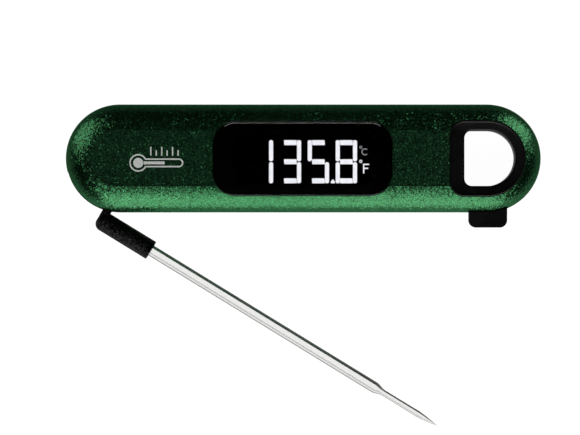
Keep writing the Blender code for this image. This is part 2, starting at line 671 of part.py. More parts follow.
def make_coin_cell(materials):
    bottom, top = CELL_Z
    profile = [
        (CELL_RADIUS - 1.1, bottom), (CELL_RADIUS - 1.0, bottom + 0.2), (CELL_RADIUS - 0.6, bottom + 0.3),
        (CELL_RADIUS, bottom + 0.5), (CELL_RADIUS, top - 0.3), (CELL_RADIUS - 0.3, top),
    ]
    cell = turned("coin_cell", profile, 36)
    finish(place(cell, CELL_X, 0), materials["steel"])
    holder_hole = circle(CELL_RADIUS + HOLDER_ROOM, 36)
    holder_outline = circle(CELL_RADIUS + HOLDER_ROOM + HOLDER_WALL, 36)
    holder = tube("battery_holder", holder_outline, holder_hole, bottom + 0.1, SOLDER_Z - 0.05)
    cut(holder, place(prism("holder_notch_guide", rectangle(8, 14, -2.1, 2.1), 3, 11), CELL_X, 0))
    finish(place(holder, CELL_X, 0), materials["soft_black"])
    negative = strip("battery_contact_negative", [(-7, 9.85), (-3, 9.85), (3, 7.8), (6, 7.8)], 0.25, 2.0)
    finish(place(negative, CELL_X, 0), materials["brass"])
    positive = strip("battery_contact_positive", [(13.2, 9.85), (10.6, 9.85), (10.6, 4.6)], 0.25, 1.6)
    finish(place(positive, CELL_X, 0), materials["brass"])


def make_battery_door(materials):
    """Quarter-turn door: two lugs on its inner end hold it behind the back shell."""
    profile = [
        (DOOR_RADIUS - 0.3, 0.35), (DOOR_RADIUS, 0.6), (DOOR_RADIUS, 1.0), (DOOR_NECK_RADIUS, 1.0),
        (DOOR_NECK_RADIUS, DOOR_TOP_Z),
    ]
    door = turned("battery_door", profile, 40)
    for side in (0, 1):
        middle = math.pi / 2 + side * math.pi
        lug = prism(f"door_lug_guide_{side}", sector(LUG_RADIUS, middle, LUG_SPAN), *LUG_Z)
        join(door, place(lug, CELL_X, 0))
    coin_slot = rounded_rectangle(0, 0, *COIN_SLOT, 1.0, 3)
    cut(door, place(prism("coin_slot_guide", coin_slot, BELOW, COIN_SLOT_DEPTH_Z), CELL_X, 0))
    finish(place(door, CELL_X, 0), materials["soft_black"])
    seal_hole = circle(DOOR_RADIUS - DOOR_SEAL_WIDTH, 40)
    seal = tube("battery_door_seal", circle(DOOR_RADIUS, 40), seal_hole, *DOOR_SEAL_Z)
    finish(place(seal, CELL_X, 0), materials["silicone"])


def make_screws(material):
    for i, (x, y) in enumerate(CASE_SCREWS):
        make_screw(f"case_screw_{i + 1}", x, y, CASE_SCREW_PROFILE, material)
    for i, (x, y) in enumerate(BOARD_SCREWS):
        make_screw(f"board_screw_{i + 1}", x, y, BOARD_SCREW_PROFILE, material)


def make_screw(name, x, y, profile, material):
    screw = place(turned(name, profile, 12), x, y)
    head = profile[0][1]
    recess = prism(name + "_recess_guide", cross(*CROSS_SIZE), head - 1, head + CROSS_DEPTH)
    cut(screw, place(recess, x, y))
    finish(screw, material)


def make_board_leads(material):
    """Two thin leads that come from the pivot's side of the casing to the board."""
    for i in range(2):
        curve = bpy.data.curves.new(f"board_lead_{i + 1}", "CURVE")
        curve.dimensions = "3D"
        curve.bevel_depth = BOARD_LEAD_RADIUS * MM
        curve.bevel_resolution = 2
        curve.use_fill_caps = True
        spline = curve.splines.new("POLY")
        spline.points.add(len(BOARD_LEAD_ROUTE) - 1)
        for point, (x, y, z) in zip(spline.points, BOARD_LEAD_ROUTE):
            point.co = (x * MM, (y + i * BOARD_LEAD_PITCH) * MM, z * MM, 1)
        item = bpy.data.objects.new(f"board_lead_{i + 1}", curve)
        bpy.context.scene.collection.objects.link(item)
        finish(item, material)


# ---------------------------------------------------------------- pivot and probe

def make_pivot(materials):
    finish(place(turned("pivot_pin", [(PIN_RADIUS, PIN_Z[0]), (PIN_RADIUS, PIN_Z[1])]), PIVOT_X, PIVOT_Y),
           materials["steel"])
    front = SLOT_Z[1] + BUSH_RECESS
    back = SLOT_Z[0] - BUSH_RECESS - BUSH_LENGTH
    washers = (
        ("pivot_bush_front", BUSH_RADIUS, front, front + BUSH_LENGTH, "brass"),
        ("pivot_bush_back", BUSH_RADIUS, back, back + BUSH_LENGTH, "brass"),
        ("friction_washer", WASHER_RADIUS, HUB_Z[1] + 0.2, SLOT_Z[1] - 0.2, "steel"),
        ("pivot_seal", WASHER_RADIUS, SLOT_Z[0] + 0.15, HUB_Z[0] - 0.15, "silicone"),
    )
    for name, radius, z0, z1, finish_name in washers:
        ring = tube(name, circle(radius), circle(BUSH_BORE), z0, z1)
        finish(place(ring, PIVOT_X, PIVOT_Y), materials[finish_name])


def make_probe_frame():
    """An empty on the pivot axis; the probe's pieces are modelled along its X axis."""
    frame = bpy.data.objects.new("probe_frame", None)
    frame.location = (PIVOT_X * MM, PIVOT_Y * MM, PROBE_Z * MM)
    frame.rotation_euler = (0, 0, PROBE_ANGLE)
    bpy.context.scene.collection.objects.link(frame)
    return frame


def make_probe_arm(material):
    """Moulded arm: a hub on the pin, a short web, and the sleeve that grips the rod."""
    x0, x1 = SLEEVE_X
    profile = []
    steps = 6
    for i in range(steps + 1):
        angle = math.pi / 2 * i / steps
        profile.append((x0 + SLEEVE_END_ROUND * (1 - math.cos(angle)),
                        SLEEVE_RADIUS - SLEEVE_END_ROUND * (1 - math.sin(angle))))
    profile += [(x1 - 0.3, SLEEVE_RADIUS), (x1, SLEEVE_RADIUS - 0.3)]
    arm = turned_along_x("probe_arm", profile, -CRANK, 0, 28)
    hub_z = (HUB_Z[0] - PROBE_Z, HUB_Z[1] - PROBE_Z)
    join(arm, prism("arm_hub_guide", circle(HUB_RADIUS, 32), *hub_z))
    web = rectangle(*WEB_X, -CRANK + 1, WEB_TOP_Y)
    join(arm, prism("arm_web_guide", web, hub_z[0] + GAP, hub_z[1] - GAP))
    cut(arm, prism("arm_pin_bore_guide", circle(PIN_RADIUS + PIN_ROOM, 24), hub_z[0] - 1, hub_z[1] + 1))
    rod_bore = [(ROD_X[0] - 0.4, ROD_RADIUS + ROD_ROOM), (x1 + 1, ROD_RADIUS + ROD_ROOM)]
    cut(arm, turned_along_x("arm_rod_bore_guide", rod_bore, -CRANK, 0))
    lead_bore = [(LEAD_BORE_START, LEAD_BORE), (ROD_X[0], LEAD_BORE)]
    cut(arm, turned_along_x("arm_lead_bore_guide", lead_bore, -CRANK, 0, 16))
    return finish(arm, material)


def make_probe_tube(material):
    """Stainless tube, open inside the arm, drawn down to a thin needle with a sharp point."""
    outer = [
        (ROD_X[0], ROD_RADIUS), (ROD_X[1], ROD_RADIUS), (NEEDLE_X[0], NEEDLE_RADIUS),
        (NEEDLE_X[1], NEEDLE_RADIUS), (TIP_X - TIP_LENGTH, 0.55), (TIP_X, 0.06),
    ]
    body = turned_along_x("probe_tube", outer, -CRANK, 0, 20)
    bore = [
        (ROD_X[0] - 1, ROD_BORE), (ROD_X[1] - 1.5, ROD_BORE), (NEEDLE_X[0] + 1.0, NEEDLE_BORE),
        (NEEDLE_X[1] - 0.5, NEEDLE_BORE),
    ]
    cut(body, turned_along_x("tube_bore_guide", bore, -CRANK, 0, 16))
    return finish(body, material)


def make_probe_insides(materials):
    finish(turned_along_x("sensor_bead", BEAD_PROFILE, -CRANK, 0, 12), materials["white_plastic"])
    for i, side in enumerate((-1, 1)):
        profile = [(x, PROBE_LEAD_RADIUS) for x in PROBE_LEAD_X]
        lead = turned_along_x(f"probe_lead_{i + 1}", profile, -CRANK, side * PROBE_LEAD_OFFSET, 8)
        finish(lead, materials["white_plastic"])
    magnet = turned_along_x("fold_magnet", [(x, MAGNET_RADIUS) for x in MAGNET_X], -CRANK, 0, 16)
    finish(magnet, materials["zinc"])


def hang_on_probe_frame(frame):
    """Every piece and guide that was modelled along the probe takes the frame as its parent."""
    names = ("probe_arm", "probe_tube", "sensor_bead", "probe_lead_1", "probe_lead_2", "fold_magnet",
             "arm_hub_guide", "arm_web_guide", "arm_pin_bore_guide", "arm_rod_bore_guide",
             "arm_lead_bore_guide", "tube_bore_guide")
    for name in names:
        bpy.data.objects[name].parent = frame


def main():
    clear_scene()
    materials = make_materials()
    make_front_shell(materials["green_paint"])
    make_back_shell(materials["green_paint"])
    make_gasket(materials["silicone"])
    make_loop_liner(materials["soft_black"])
    make_tip_guard(materials["soft_black"])
    make_display(materials)
    make_board(materials["board_green"])
    make_board_parts(materials)
    make_unit_button(materials)
    make_coin_cell(materials)
    make_battery_door(materials)
    make_screws(materials["zinc"])
    make_board_leads(materials["soft_black"])
    make_pivot(materials)
    make_probe_arm(materials["soft_black"])
    make_probe_tube(materials["steel"])
    make_probe_insides(materials)
    hang_on_probe_frame(make_probe_frame())


main()
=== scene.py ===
"""Looks of the folding-probe meat thermometer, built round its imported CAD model.

Lengths are in millimetres and are turned into Blender's metres where meshes are made.
Shapes repeat the CAD's at a finer pitch, with rounded edges, and take their places from the frame.
"""
import json
import math

import bmesh
import bpy
from mathutils import Matrix, Vector


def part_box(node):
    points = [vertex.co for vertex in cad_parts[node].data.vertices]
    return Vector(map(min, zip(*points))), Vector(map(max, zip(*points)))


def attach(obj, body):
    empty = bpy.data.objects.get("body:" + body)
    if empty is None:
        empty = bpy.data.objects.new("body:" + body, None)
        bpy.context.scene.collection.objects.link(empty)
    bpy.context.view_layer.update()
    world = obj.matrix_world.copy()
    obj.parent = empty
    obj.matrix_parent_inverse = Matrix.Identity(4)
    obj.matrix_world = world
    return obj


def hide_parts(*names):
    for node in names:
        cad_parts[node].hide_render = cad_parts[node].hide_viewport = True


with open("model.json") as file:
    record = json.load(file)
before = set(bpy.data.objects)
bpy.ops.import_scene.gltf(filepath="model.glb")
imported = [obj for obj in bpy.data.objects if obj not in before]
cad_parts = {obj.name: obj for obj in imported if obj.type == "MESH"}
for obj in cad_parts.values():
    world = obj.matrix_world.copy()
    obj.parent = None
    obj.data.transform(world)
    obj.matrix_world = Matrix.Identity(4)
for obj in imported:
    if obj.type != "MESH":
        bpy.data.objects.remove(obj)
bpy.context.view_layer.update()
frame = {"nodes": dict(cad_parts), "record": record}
MM = 0.001
JOINTS = {joint["name"]: joint for joint in frame["record"]["behaviour"]["joints"]}


def box_mm(node):
    low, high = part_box(node)
    return Vector(low) / MM, Vector(high) / MM


# -------------------- places taken from the frame

BACK_LOW, BACK_HIGH = box_mm("back_shell")
FRONT_LOW, _ = box_mm("front_shell")
LENS_LOW, LENS_HIGH = box_mm("display_lens")
_, GLASS_HIGH = box_mm("lcd_glass")
LINER_LOW, LINER_HIGH = box_mm("loop_liner")
GUARD_LOW, GUARD_HIGH = box_mm("tip_guard")
DOOR_LOW, DOOR_HIGH = box_mm("battery_door")
BUTTON_LOW, BUTTON_HIGH = box_mm("unit_button")
HUB = Vector(JOINTS["probe_fold"]["pos_m"]) / MM

END_RADIUS = (BACK_HIGH.y - BACK_LOW.y) / 2
END_X = BACK_HIGH.x - END_RADIUS
PARTING_Z = (BACK_HIGH.z + FRONT_LOW.z) / 2
HALF_SEAM = 0.06
BACK_TOP = PARTING_Z - HALF_SEAM
FRONT_BOTTOM = PARTING_Z + HALF_SEAM
LENS_X = (LENS_LOW.x + LENS_HIGH.x) / 2
LENS_LENGTH = LENS_HIGH.x - LENS_LOW.x
LENS_WIDTH = LENS_HIGH.y - LENS_LOW.y
BUTTON_X = (BUTTON_LOW.x + BUTTON_HIGH.x) / 2
DOOR_X = (DOOR_LOW.x + DOOR_HIGH.x) / 2

# -------------------- sizes, as in the CAD model

# clearance, broken edges, and how far cutters reach
GAP = 0.3
EDGE_BREAK = 0.12
ABOVE_ALL = 25
BELOW_ALL = -1
OVERRUN = 1

# shells: walls, the back's rounded edge, the front's rim and its sunken panel
WALL = 2.2
FLOOR_Z = 2.4
FLOOR_TAPER = 2.2
CEILING_Z = 16.3
CEILING_TAPER = 2.0
REBATE_WALL = 0.9
REBATE_HALF_HEIGHT = 0.7
BACK_EDGE_RUN = 4.0
BACK_EDGE_RISE = 5.0
RIM_START_Z = 12.0
RIM_RUN = 12.0
RIM_RISE = 7.61
PANEL_INSET = 9.2
PANEL_Z = 18.8

# seats in the front shell
SEAT_GAP = 0.25
LENS_CORNER = 8.0
LEDGE_Z = 17.5
WINDOW_LENGTH = 55.2
WINDOW_WIDTH = 19.2
WINDOW_CORNER = 1.5
WINDOW_CUT_Z = 14
COLLAR_SEAT_Z = 17.8

# hang opening and its liner
COLLAR_CORNER = 5.0
COLLAR_RADIUS = LINER_HIGH.y
COLLAR_LEFT = LINER_LOW.x
LOOP_X = LINER_HIGH.x - COLLAR_RADIUS
LOOP_LEFT = COLLAR_LEFT + 5.0
LOOP_RADIUS = COLLAR_RADIUS - 3.55
LOOP_CORNER = 2.6
LINER_WALL = 1.6

# the probe's pivot: its slot in the casing's end, the bed of the folded arm, bush and pin
PROBE_ANGLE = math.radians(-31.5)
CRANK = 7.0
HUB_RADIUS = 3.1
HUB_CLEARANCE = 0.35
SLOT_Z = (6.2, 13.8)
SLOT_RIGHT = 1.9
SLOT_TOP = 10.75
SLOT_WALL = 1.6
SLOT_WALL_STEP = (2.0, 5.5)
BED_X = (2, 21)
BED_DEPTH = 0.3
OUTSIDE_Y = -30
BUSH_RADIUS = 1.9
BUSH_Z_BACK = (5.35, 8)
BUSH_Z_FRONT = (12, 14.65)
PIN_RADIUS = 1.2
PIN_Z_BACK = (4.05, 8)
PIN_Z_FRONT = (12, 15.15)
PIN_BORE_IN_ARM = 1.15

# tip guard: body, neck and flange, and the casing's seat and notch for them
GUARD_SEAT_Y = (-22, -14)
GUARD_SEAT_Z = (5.3, 14.7)
GUARD_SEAT_INSET = 0.6
GUARD_INSET = 0.3
GUARD_Z = (5.6, 14.4)
GUARD_INNER_Y = -16.0
NOTCH_X = (57.9, 68.6)
NOTCH_Z = (5.1, 8.9)
NECK_X = (58.2, 68.3)
NECK_Y = (-20, -14.6)
NECK_Z = (5.4, 8.6)
FLANGE_Y = -15.1
FLANGE_TOP = 9.4
GROOVE_Y = (-27, -21.2)
HALF_GROOVE = 1.4

# screws and their posts
CASE_SCREWS = [f"case_screw_{i}" for i in (1, 2, 3, 4)]
BOARD_SCREWS = [f"board_screw_{i}" for i in (1, 2, 3, 4)]
CASE_POST_RADIUS = 2.6
CASE_THREAD_RADIUS = 1.1
CASE_THREAD_Z = (9, 15)
CASE_HEAD_RADIUS = 2.0
CASE_HEAD_DEPTH = 2.4
CASE_SHANK_RADIUS = 1.15
CASE_SHANK_Z = (1.5, 11)
BOARD_POST_RADIUS = 2.0
BOARD_POST_Z = 12.2
BOARD_THREAD_RADIUS = 0.9
BOARD_THREAD_Z = (11, 15.2)

# button and battery door in the back
BUTTON_HOLE_RADIUS = 4.85
BUTTON_HOLE_TOP = 5
DOOR_RECESS_RADIUS = 13.9
DOOR_RECESS_DEPTH = 1.75
DOOR_HOLE_RADIUS = 12.0
DOOR_HOLE_TOP = 4
DOOR_NOTCH_RADIUS = 12.9
DOOR_NOTCH_TURN = 45
DOOR_NOTCH_SPAN = 46
DOOR_NOTCH_Z = (1, 4)


# -------------------- outlines

def arc(cx, cy, radius, start, end, steps):
    """Points of an arc, both ends included; angles in degrees."""
    points = []
    for i in range(steps + 1):
        angle = math.radians(start + (end - start) * i / steps)
        points.append((cx + radius * math.cos(angle), cy + radius * math.sin(angle)))
    return points


def quarter(steps):
    """Sines and cosines of evenly spaced angles from 0 to 90 degrees."""
    angles = [math.pi / 2 * i / steps for i in range(steps + 1)]
    return [(math.sin(angle), math.cos(angle)) for angle in angles]


def circle(radius, segments=64, cx=0.0, cy=0.0):
    return arc(cx, cy, radius, 0, 360 * (segments - 1) / segments, segments - 1)


def rectangle(x0, x1, y0, y1):
    return [(x0, y0), (x1, y0), (x1, y1), (x0, y1)]


def rounded_rectangle(cx, length, width, corner):
    steps = 14
    x = length / 2 - corner
    y = width / 2 - corner
    points = []
    for px, py, start in ((x, y, 0), (-x, y, 90), (-x, -y, 180), (x, -y, 270)):
        points += arc(cx + px, py, corner, start, start + 90, steps)
    return points


def stadium(inset):
    """The casing's outline, drawn in by an inset."""
    steps = 64
    radius = END_RADIUS - inset
    return arc(END_X, 0, radius, -90, 90, steps) + arc(-END_X, 0, radius, 90, 270, steps)


def d_shape(left, radius, corner):
    """The hang opening's outline: a straight left side and a half circle at the right."""
    bow_steps = 56
    corner_steps = 10
    points = arc(LOOP_X, 0, radius, -90, 90, bow_steps)
    points += arc(left + corner, radius - corner, corner, 90, 180, corner_steps)
    points += arc(left + corner, -radius + corner, corner, 180, 270, corner_steps)
    return points


def cavity_outline(inset):
    """The room inside the walls, with the probe's slot and its wall left out."""
    steps = 40
    wall = SLOT_WALL - (WALL - inset)
    radius = END_RADIUS - inset
    right = HUB.x + HUB_RADIUS + HUB_CLEARANCE + wall
    shoulder = HUB.x + SLOT_RIGHT + wall
    top = HUB.y + SLOT_TOP + wall
    end_angle = 180 - math.degrees(math.asin(top / radius))
    step_low, step_high = SLOT_WALL_STEP
    points = [(right, -radius)]
    points += arc(END_X, 0, radius, -90, 90, steps)
    points += arc(-END_X, 0, radius, 90, end_angle, steps)
    points += [(shoulder, top), (shoulder, HUB.y + step_high), (right, HUB.y + step_low)]
    return points


def slot_outline():
    """The slot in which the arm's root turns, open to the casing's end and lower side."""
    radius = HUB_RADIUS + HUB_CLEARANCE
    meet = math.degrees(math.acos(SLOT_RIGHT / radius))
    reach = 25.0
    points = [(HUB.x + radius, HUB.y - reach)]
    points += arc(HUB.x, HUB.y, radius, 0, meet, 12)
    points += [(HUB.x + SLOT_RIGHT, HUB.y + SLOT_TOP), (HUB.x - reach, HUB.y + SLOT_TOP)]
    points.append((HUB.x - reach, HUB.y - reach))
    return points


def sector(radius, middle, span):
    """A slice of a disc; the angles are in degrees."""
    start = middle - span / 2
    return [(0.0, 0.0)] + arc(0, 0, radius, start, start + span, 12)


# -------------------- mesh helpers

EDGE_ANGLE = 32


def link(item):
    bpy.context.scene.collection.objects.link(item)
    return item


def add_mesh(name, rings, closed=False):
    """Skin a row of rings of equal length; the ends are capped unless the row closes on itself."""
    count = len(rings[0])
    points = [(x * MM, y * MM, z * MM) for ring in rings for x, y, z in ring]
    faces = []
    last = len(rings) if closed else len(rings) - 1
    for i in range(last):
        a = i * count
        b = (i + 1) % len(rings) * count
        for j in range(count):
            k = (j + 1) % count
            faces.append((a + j, a + k, b + k, b + j))
    if not closed:
        faces.append(tuple(reversed(range(count))))
        faces.append(tuple(range((len(rings) - 1) * count, len(rings) * count)))
    mesh = bpy.data.meshes.new(name)
    mesh.from_pydata(points, [], faces)
    return link(bpy.data.objects.new(name, mesh))


def level(outline, z):
    return [(x, y, z) for x, y in outline]


def prism(name, outline, z0, z1):
    return add_mesh(name, [level(outline, z0), level(outline, z1)])


def turned(name, profile, segments=72):
    """A solid of (radius, z) stations round a vertical axis."""
    return add_mesh(name, [level(circle(radius, segments), z) for radius, z in profile])


def turned_on_probe(name, profile, segments=64):
    """A solid of (x, radius) stations round the probe's own axis."""
    rings = []
    for x, radius in profile:
        rings.append([(x, -CRANK + radius * math.cos(t), radius * math.sin(t))
                      for t in (2 * math.pi * i / segments for i in range(segments))])
    return add_mesh(name, rings)


def carve(item, cutters=(), joins=()):
    """Apply booleans for good and remove the tools."""
    tools = [(tool, "UNION") for tool in joins] + [(tool, "DIFFERENCE") for tool in cutters]
    for tool, operation in tools:
        modifier = item.modifiers.new(tool.name, "BOOLEAN")
        modifier.operation = operation
        modifier.solver = "EXACT"
        modifier.object = tool
    bake(item)
    for tool, _ in tools:
        bpy.data.objects.remove(tool, do_unlink=True)
    return item


def bake(item):
    """Turn the modified shape into the object's own mesh."""
    bpy.context.view_layer.update()
    graph = bpy.context.evaluated_depsgraph_get()
    mesh = bpy.data.meshes.new_from_object(item.evaluated_get(graph))
    item.modifiers.clear()
    item.data = mesh


def shift_x(item, x):
    """Move the mesh itself along X."""
    item.data.transform(Matrix.Translation((x * MM, 0, 0)))
    return item


def soften(item, width, segments=2):
    """Round the hard edges a little, as moulded and machined edges are."""
    modifier = item.modifiers.new("edge_round", "BEVEL")
    modifier.width = width * MM
    modifier.segments = segments
    modifier.limit_method = "ANGLE"
    modifier.angle_limit = math.radians(EDGE_ANGLE)
    modifier.use_clamp_overlap = True
    modifier.miter_outer = "MITER_ARC"
    bake(item)
    shade(item)
    even = item.modifiers.new("even_normals", "WEIGHTED_NORMAL")
    even.keep_sharp = True
    bake(item)
    return item


def shade(item, angle=EDGE_ANGLE):
    """Shade smoothly across edges that bend less than the angle."""
    item.data.shade_smooth()
    item.data.set_sharp_from_angle(angle=math.radians(angle))
    return item


def dress(item, material, body, slot, *nodes):
    item.data.materials.clear()
    item.data.materials.append(material)
    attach(item, body)
    if nodes:
        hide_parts(*nodes)
    return item


# -------------------- materials

def math_node(tree, kind, operation, *inputs):
    """The result of a math node whose inputs are other nodes' outputs or plain values."""
    node = tree.nodes.new(kind)
    node.operation = operation
    for socket, value in zip(node.inputs, inputs):
        if isinstance(value, bpy.types.NodeSocket):
            tree.links.new(value, socket)
        else:
            socket.default_value = value
    return node.outputs[0]


def map_range(tree, source, start, end, low, high):
    """Stretch the source's range from start to end over low to high."""
    node = tree.nodes.new("ShaderNodeMapRange")
    limits = {"From Min": start, "From Max": end, "To Min": low, "To Max": high}
    for socket, value in limits.items():
        node.inputs[socket].default_value = value
    tree.links.new(source, node.inputs["Value"])
    return node.outputs["Result"]


class Recipe:
    """A Principled material with a few shorthands for its nodes."""

    MIX_FACTOR, MIX_FIRST, MIX_SECOND = 0, 6, 7
    MIX_RESULT = 2

    def __init__(self, name, colour, metallic, roughness):
        self.material = bpy.data.materials.new(name)
        self.material.use_nodes = True
        self.tree = self.material.node_tree
        self.shader = self.tree.nodes["Principled BSDF"]
        self.set("Base Color", (*colour, 1.0))
        self.set("Metallic", metallic)
        self.set("Roughness", roughness)
        self.place = self.tree.nodes.new("ShaderNodeTexCoord").outputs["Object"]

    def set(self, socket, value):
        self.shader.inputs[socket].default_value = value

    def link(self, source, target):
        self.tree.links.new(source, target)

    def stretched(self, scale, angle=0.0):
        mapping = self.tree.nodes.new("ShaderNodeMapping")
        mapping.inputs["Scale"].default_value = scale
        mapping.inputs["Rotation"].default_value = (0, 0, angle)
        self.link(self.place, mapping.inputs["Vector"])
        return mapping.outputs["Vector"]

    def noise(self, per_metre, detail=3.0, rough=0.55, vector=None):
        node = self.tree.nodes.new("ShaderNodeTexNoise")
        node.inputs["Scale"].default_value = per_metre
        node.inputs["Detail"].default_value = detail
        node.inputs["Roughness"].default_value = rough
        self.link(vector or self.place, node.inputs["Vector"])
        return node.outputs["Fac"]

    def cells(self, per_metre, output="Distance"):
        node = self.tree.nodes.new("ShaderNodeTexVoronoi")
        node.inputs["Scale"].default_value = per_metre
        self.link(self.place, node.inputs["Vector"])
        return node.outputs[output]

    def spread(self, source, low=0.0, high=1.0, start=0.3, end=0.7):
        return map_range(self.tree, source, start, end, low, high)

    def blend(self, source, first, second):
        node = self.tree.nodes.new("ShaderNodeMix")
        node.data_type = "RGBA"
        for number, value in ((self.MIX_FIRST, first), (self.MIX_SECOND, second)):
            socket = node.inputs[number]
            if isinstance(value, tuple):
                socket.default_value = (*value, 1.0)
            else:
                self.link(value, socket)
        self.link(source, node.inputs[self.MIX_FACTOR])
        return node.outputs[self.MIX_RESULT]

    def sum(self, first, second):
        return math_node(self.tree, "ShaderNodeMath", "ADD", first, second)

    def share(self, source, weight):
        return math_node(self.tree, "ShaderNodeMath", "MULTIPLY", source, weight)

    def colour(self, source):
        self.link(source, self.shader.inputs["Base Color"])

    def roughness(self, source):
        self.link(source, self.shader.inputs["Roughness"])

    def bump(self, source, strength, depth_mm, normal=None):
        node = self.tree.nodes.new("ShaderNodeBump")
        node.inputs["Strength"].default_value = strength
        node.inputs["Distance"].default_value = depth_mm * MM
        self.link(source, node.inputs["Height"])
        if normal:
            self.link(normal, node.inputs["Normal"])
        self.link(node.outputs["Normal"], self.shader.inputs["Normal"])

    def flakes(self, per_metre, tilt, strays=0.0):
        """A surface normal that leans its own way in every small cell, as metal flakes lie.

        Most lean a little; strays lets a few lean much further.
        """
        centre = (0.5, 0.5, 0.5)
        random = self.vector_math("SUBTRACT", self.cells(per_metre, "Color"), centre)
        square = self.vector_math("MULTIPLY", random, random)
        reach = self.vector_math("MULTIPLY", square, (strays,) * 3)
        lean = self.vector_math("MULTIPLY", random, self.vector_math("ADD", reach, (tilt,) * 3))
        upright = self.tree.nodes.new("ShaderNodeNewGeometry").outputs["Normal"]
        return self.vector_math("NORMALIZE", self.vector_math("ADD", upright, lean))

    def vector_math(self, operation, *inputs):
        return math_node(self.tree, "ShaderNodeVectorMath", operation, *inputs)


def green_paint():
    """Satin metallic green: fine flake grain, slow drift of tone, and a faint orange peel."""
    paint = Recipe("green_paint", (0.03, 0.13, 0.051), metallic=0.98, roughness=0.33)
    grain = paint.spread(paint.noise(2300, detail=2.0, rough=0.75), start=0.38, end=0.62)
    flakes = paint.spread(paint.cells(3000), start=0.1, end=0.75)
    speck = paint.sum(paint.share(grain, 0.65), paint.share(flakes, 0.35))
    drift = paint.spread(paint.noise(34, detail=2.0))
    deep = paint.blend(drift, (0.006, 0.043, 0.015), (0.009, 0.049, 0.018))
    light = paint.blend(drift, (0.046, 0.2, 0.08), (0.061, 0.222, 0.092))
    paint.colour(paint.blend(speck, deep, light))
    paint.roughness(paint.spread(speck, 0.18, 0.27, start=0.0, end=1.0))
    peel = paint.sum(paint.noise(700, detail=2.0), paint.share(grain, 0.5))
    flake_normal = paint.flakes(2700, tilt=0.14, strays=1.25)
    paint.bump(peel, strength=0.25, depth_mm=0.04, normal=flake_normal)
    paint.set("Specular Tint", (0.5, 0.88, 0.58, 1.0))
    paint.set("Coat Weight", 0.05)
    paint.set("Coat Roughness", 0.2)
    return paint.material


def soft_black():
    """Black moulded plastic with a fine spark-eroded texture."""
    plastic = Recipe("soft_black_plastic", (0.006, 0.005, 0.0055), metallic=0.0, roughness=0.38)
    grit = plastic.noise(2600, rough=0.65)
    drift = plastic.noise(160)
    dark, light = (0.0007, 0.0005, 0.0006), (0.005, 0.004, 0.0043)
    plastic.colour(plastic.blend(plastic.spread(grit), dark, light))
    plastic.roughness(plastic.spread(plastic.sum(grit, drift), 0.3, 0.48, start=0.7, end=1.3))
    plastic.bump(grit, strength=0.3, depth_mm=0.04)
    plastic.set("Specular IOR Level", 0.4)
    return plastic.material


def grip_black():
    """The probe arm's coarser, rubbery black."""
    rubber = Recipe("grip_black_rubber", (0.005, 0.0048, 0.005), metallic=0.0, roughness=0.4)
    grit = rubber.noise(2300, rough=0.7)
    pits = rubber.cells(2100)
    coarse = rubber.sum(grit, pits)
    dark, light = (0.0007, 0.0006, 0.0007), (0.0036, 0.0032, 0.0036)
    rubber.colour(rubber.blend(rubber.spread(grit), dark, light))
    rubber.roughness(rubber.spread(coarse, 0.24, 0.4, start=0.6, end=1.3))
    rubber.bump(coarse, strength=0.9, depth_mm=0.12, normal=rubber.flakes(2800, tilt=1.2))
    rubber.set("Specular IOR Level", 0.25)
    return rubber.material


def lens_acrylic():
    """Smoked acrylic window, polished, with a trace of haze and fine wiping marks."""
    lens = Recipe("smoked_acrylic", (0.42, 0.42, 0.44), metallic=0.0, roughness=0.03)
    lens.set("Transmission Weight", 1.0)
    lens.set("IOR", 1.49)
    haze = lens.noise(90, detail=4.0, vector=lens.stretched((1.0, 3.0, 1.0), angle=0.5))
    lens.roughness(lens.spread(haze, 0.015, 0.06))
    return lens.material


def print_black():
    """Black back-printing behind the window."""
    ink = Recipe("black_print", (0.004, 0.004, 0.0045), metallic=0.0, roughness=0.35)
    mottle = ink.noise(500)
    ink.colour(ink.blend(ink.spread(mottle), (0.003, 0.003, 0.0034), (0.006, 0.0058, 0.0062)))
    ink.roughness(ink.spread(mottle, 0.3, 0.42))
    return ink.material


def lit_segment(name, strength):
    """A lit display segment; its light is a little uneven, as a backlight guide's is."""
    glow = Recipe(name, (0.8, 0.8, 0.8), metallic=0.0, roughness=0.5)
    uneven = glow.spread(glow.noise(420, detail=2.0))
    colour = glow.blend(uneven, (0.86, 0.88, 0.9), (1.0, 1.0, 1.0))
    glow.colour(colour)
    glow.link(colour, glow.shader.inputs["Emission Color"])
    glow.set("Emission Strength", strength)
    return glow.material


def probe_steel():
    """Drawn stainless steel, polished, with fine lines round the rod and faint smudges."""
    steel = Recipe("polished_steel", (0.72, 0.72, 0.71), metallic=1.0, roughness=0.2)
    lines = steel.noise(700, rough=0.6, vector=steel.stretched((1.0, 14.0, 14.0)))
    smudge = steel.noise(120)
    steel.colour(steel.blend(steel.spread(lines), (0.66, 0.66, 0.65), (0.8, 0.8, 0.79)))
    steel.roughness(steel.spread(steel.sum(lines, smudge), 0.14, 0.28, start=0.7, end=1.3))
    steel.bump(lines, strength=0.06, depth_mm=0.01)
    return steel.material


def plain_metal(name, dark, light, rough):
    metal = Recipe(name, light, metallic=1.0, roughness=rough)
    wear = metal.noise(900, detail=4.0, rough=0.6)
    metal.colour(metal.blend(metal.spread(wear), dark, light))
    metal.roughness(metal.spread(wear, rough - 0.08, rough + 0.1))
    metal.bump(wear, strength=0.08, depth_mm=0.02)
    return metal.material


def plain_plastic(name, dark, light, rough):
    plastic = Recipe(name, light, metallic=0.0, roughness=rough)
    grit = plastic.noise(1800)
    plastic.colour(plastic.blend(plastic.spread(grit), dark, light))
    plastic.roughness(plastic.spread(grit, rough - 0.07, rough + 0.07))
    plastic.bump(grit, strength=0.15, depth_mm=0.02)
    return plastic.material


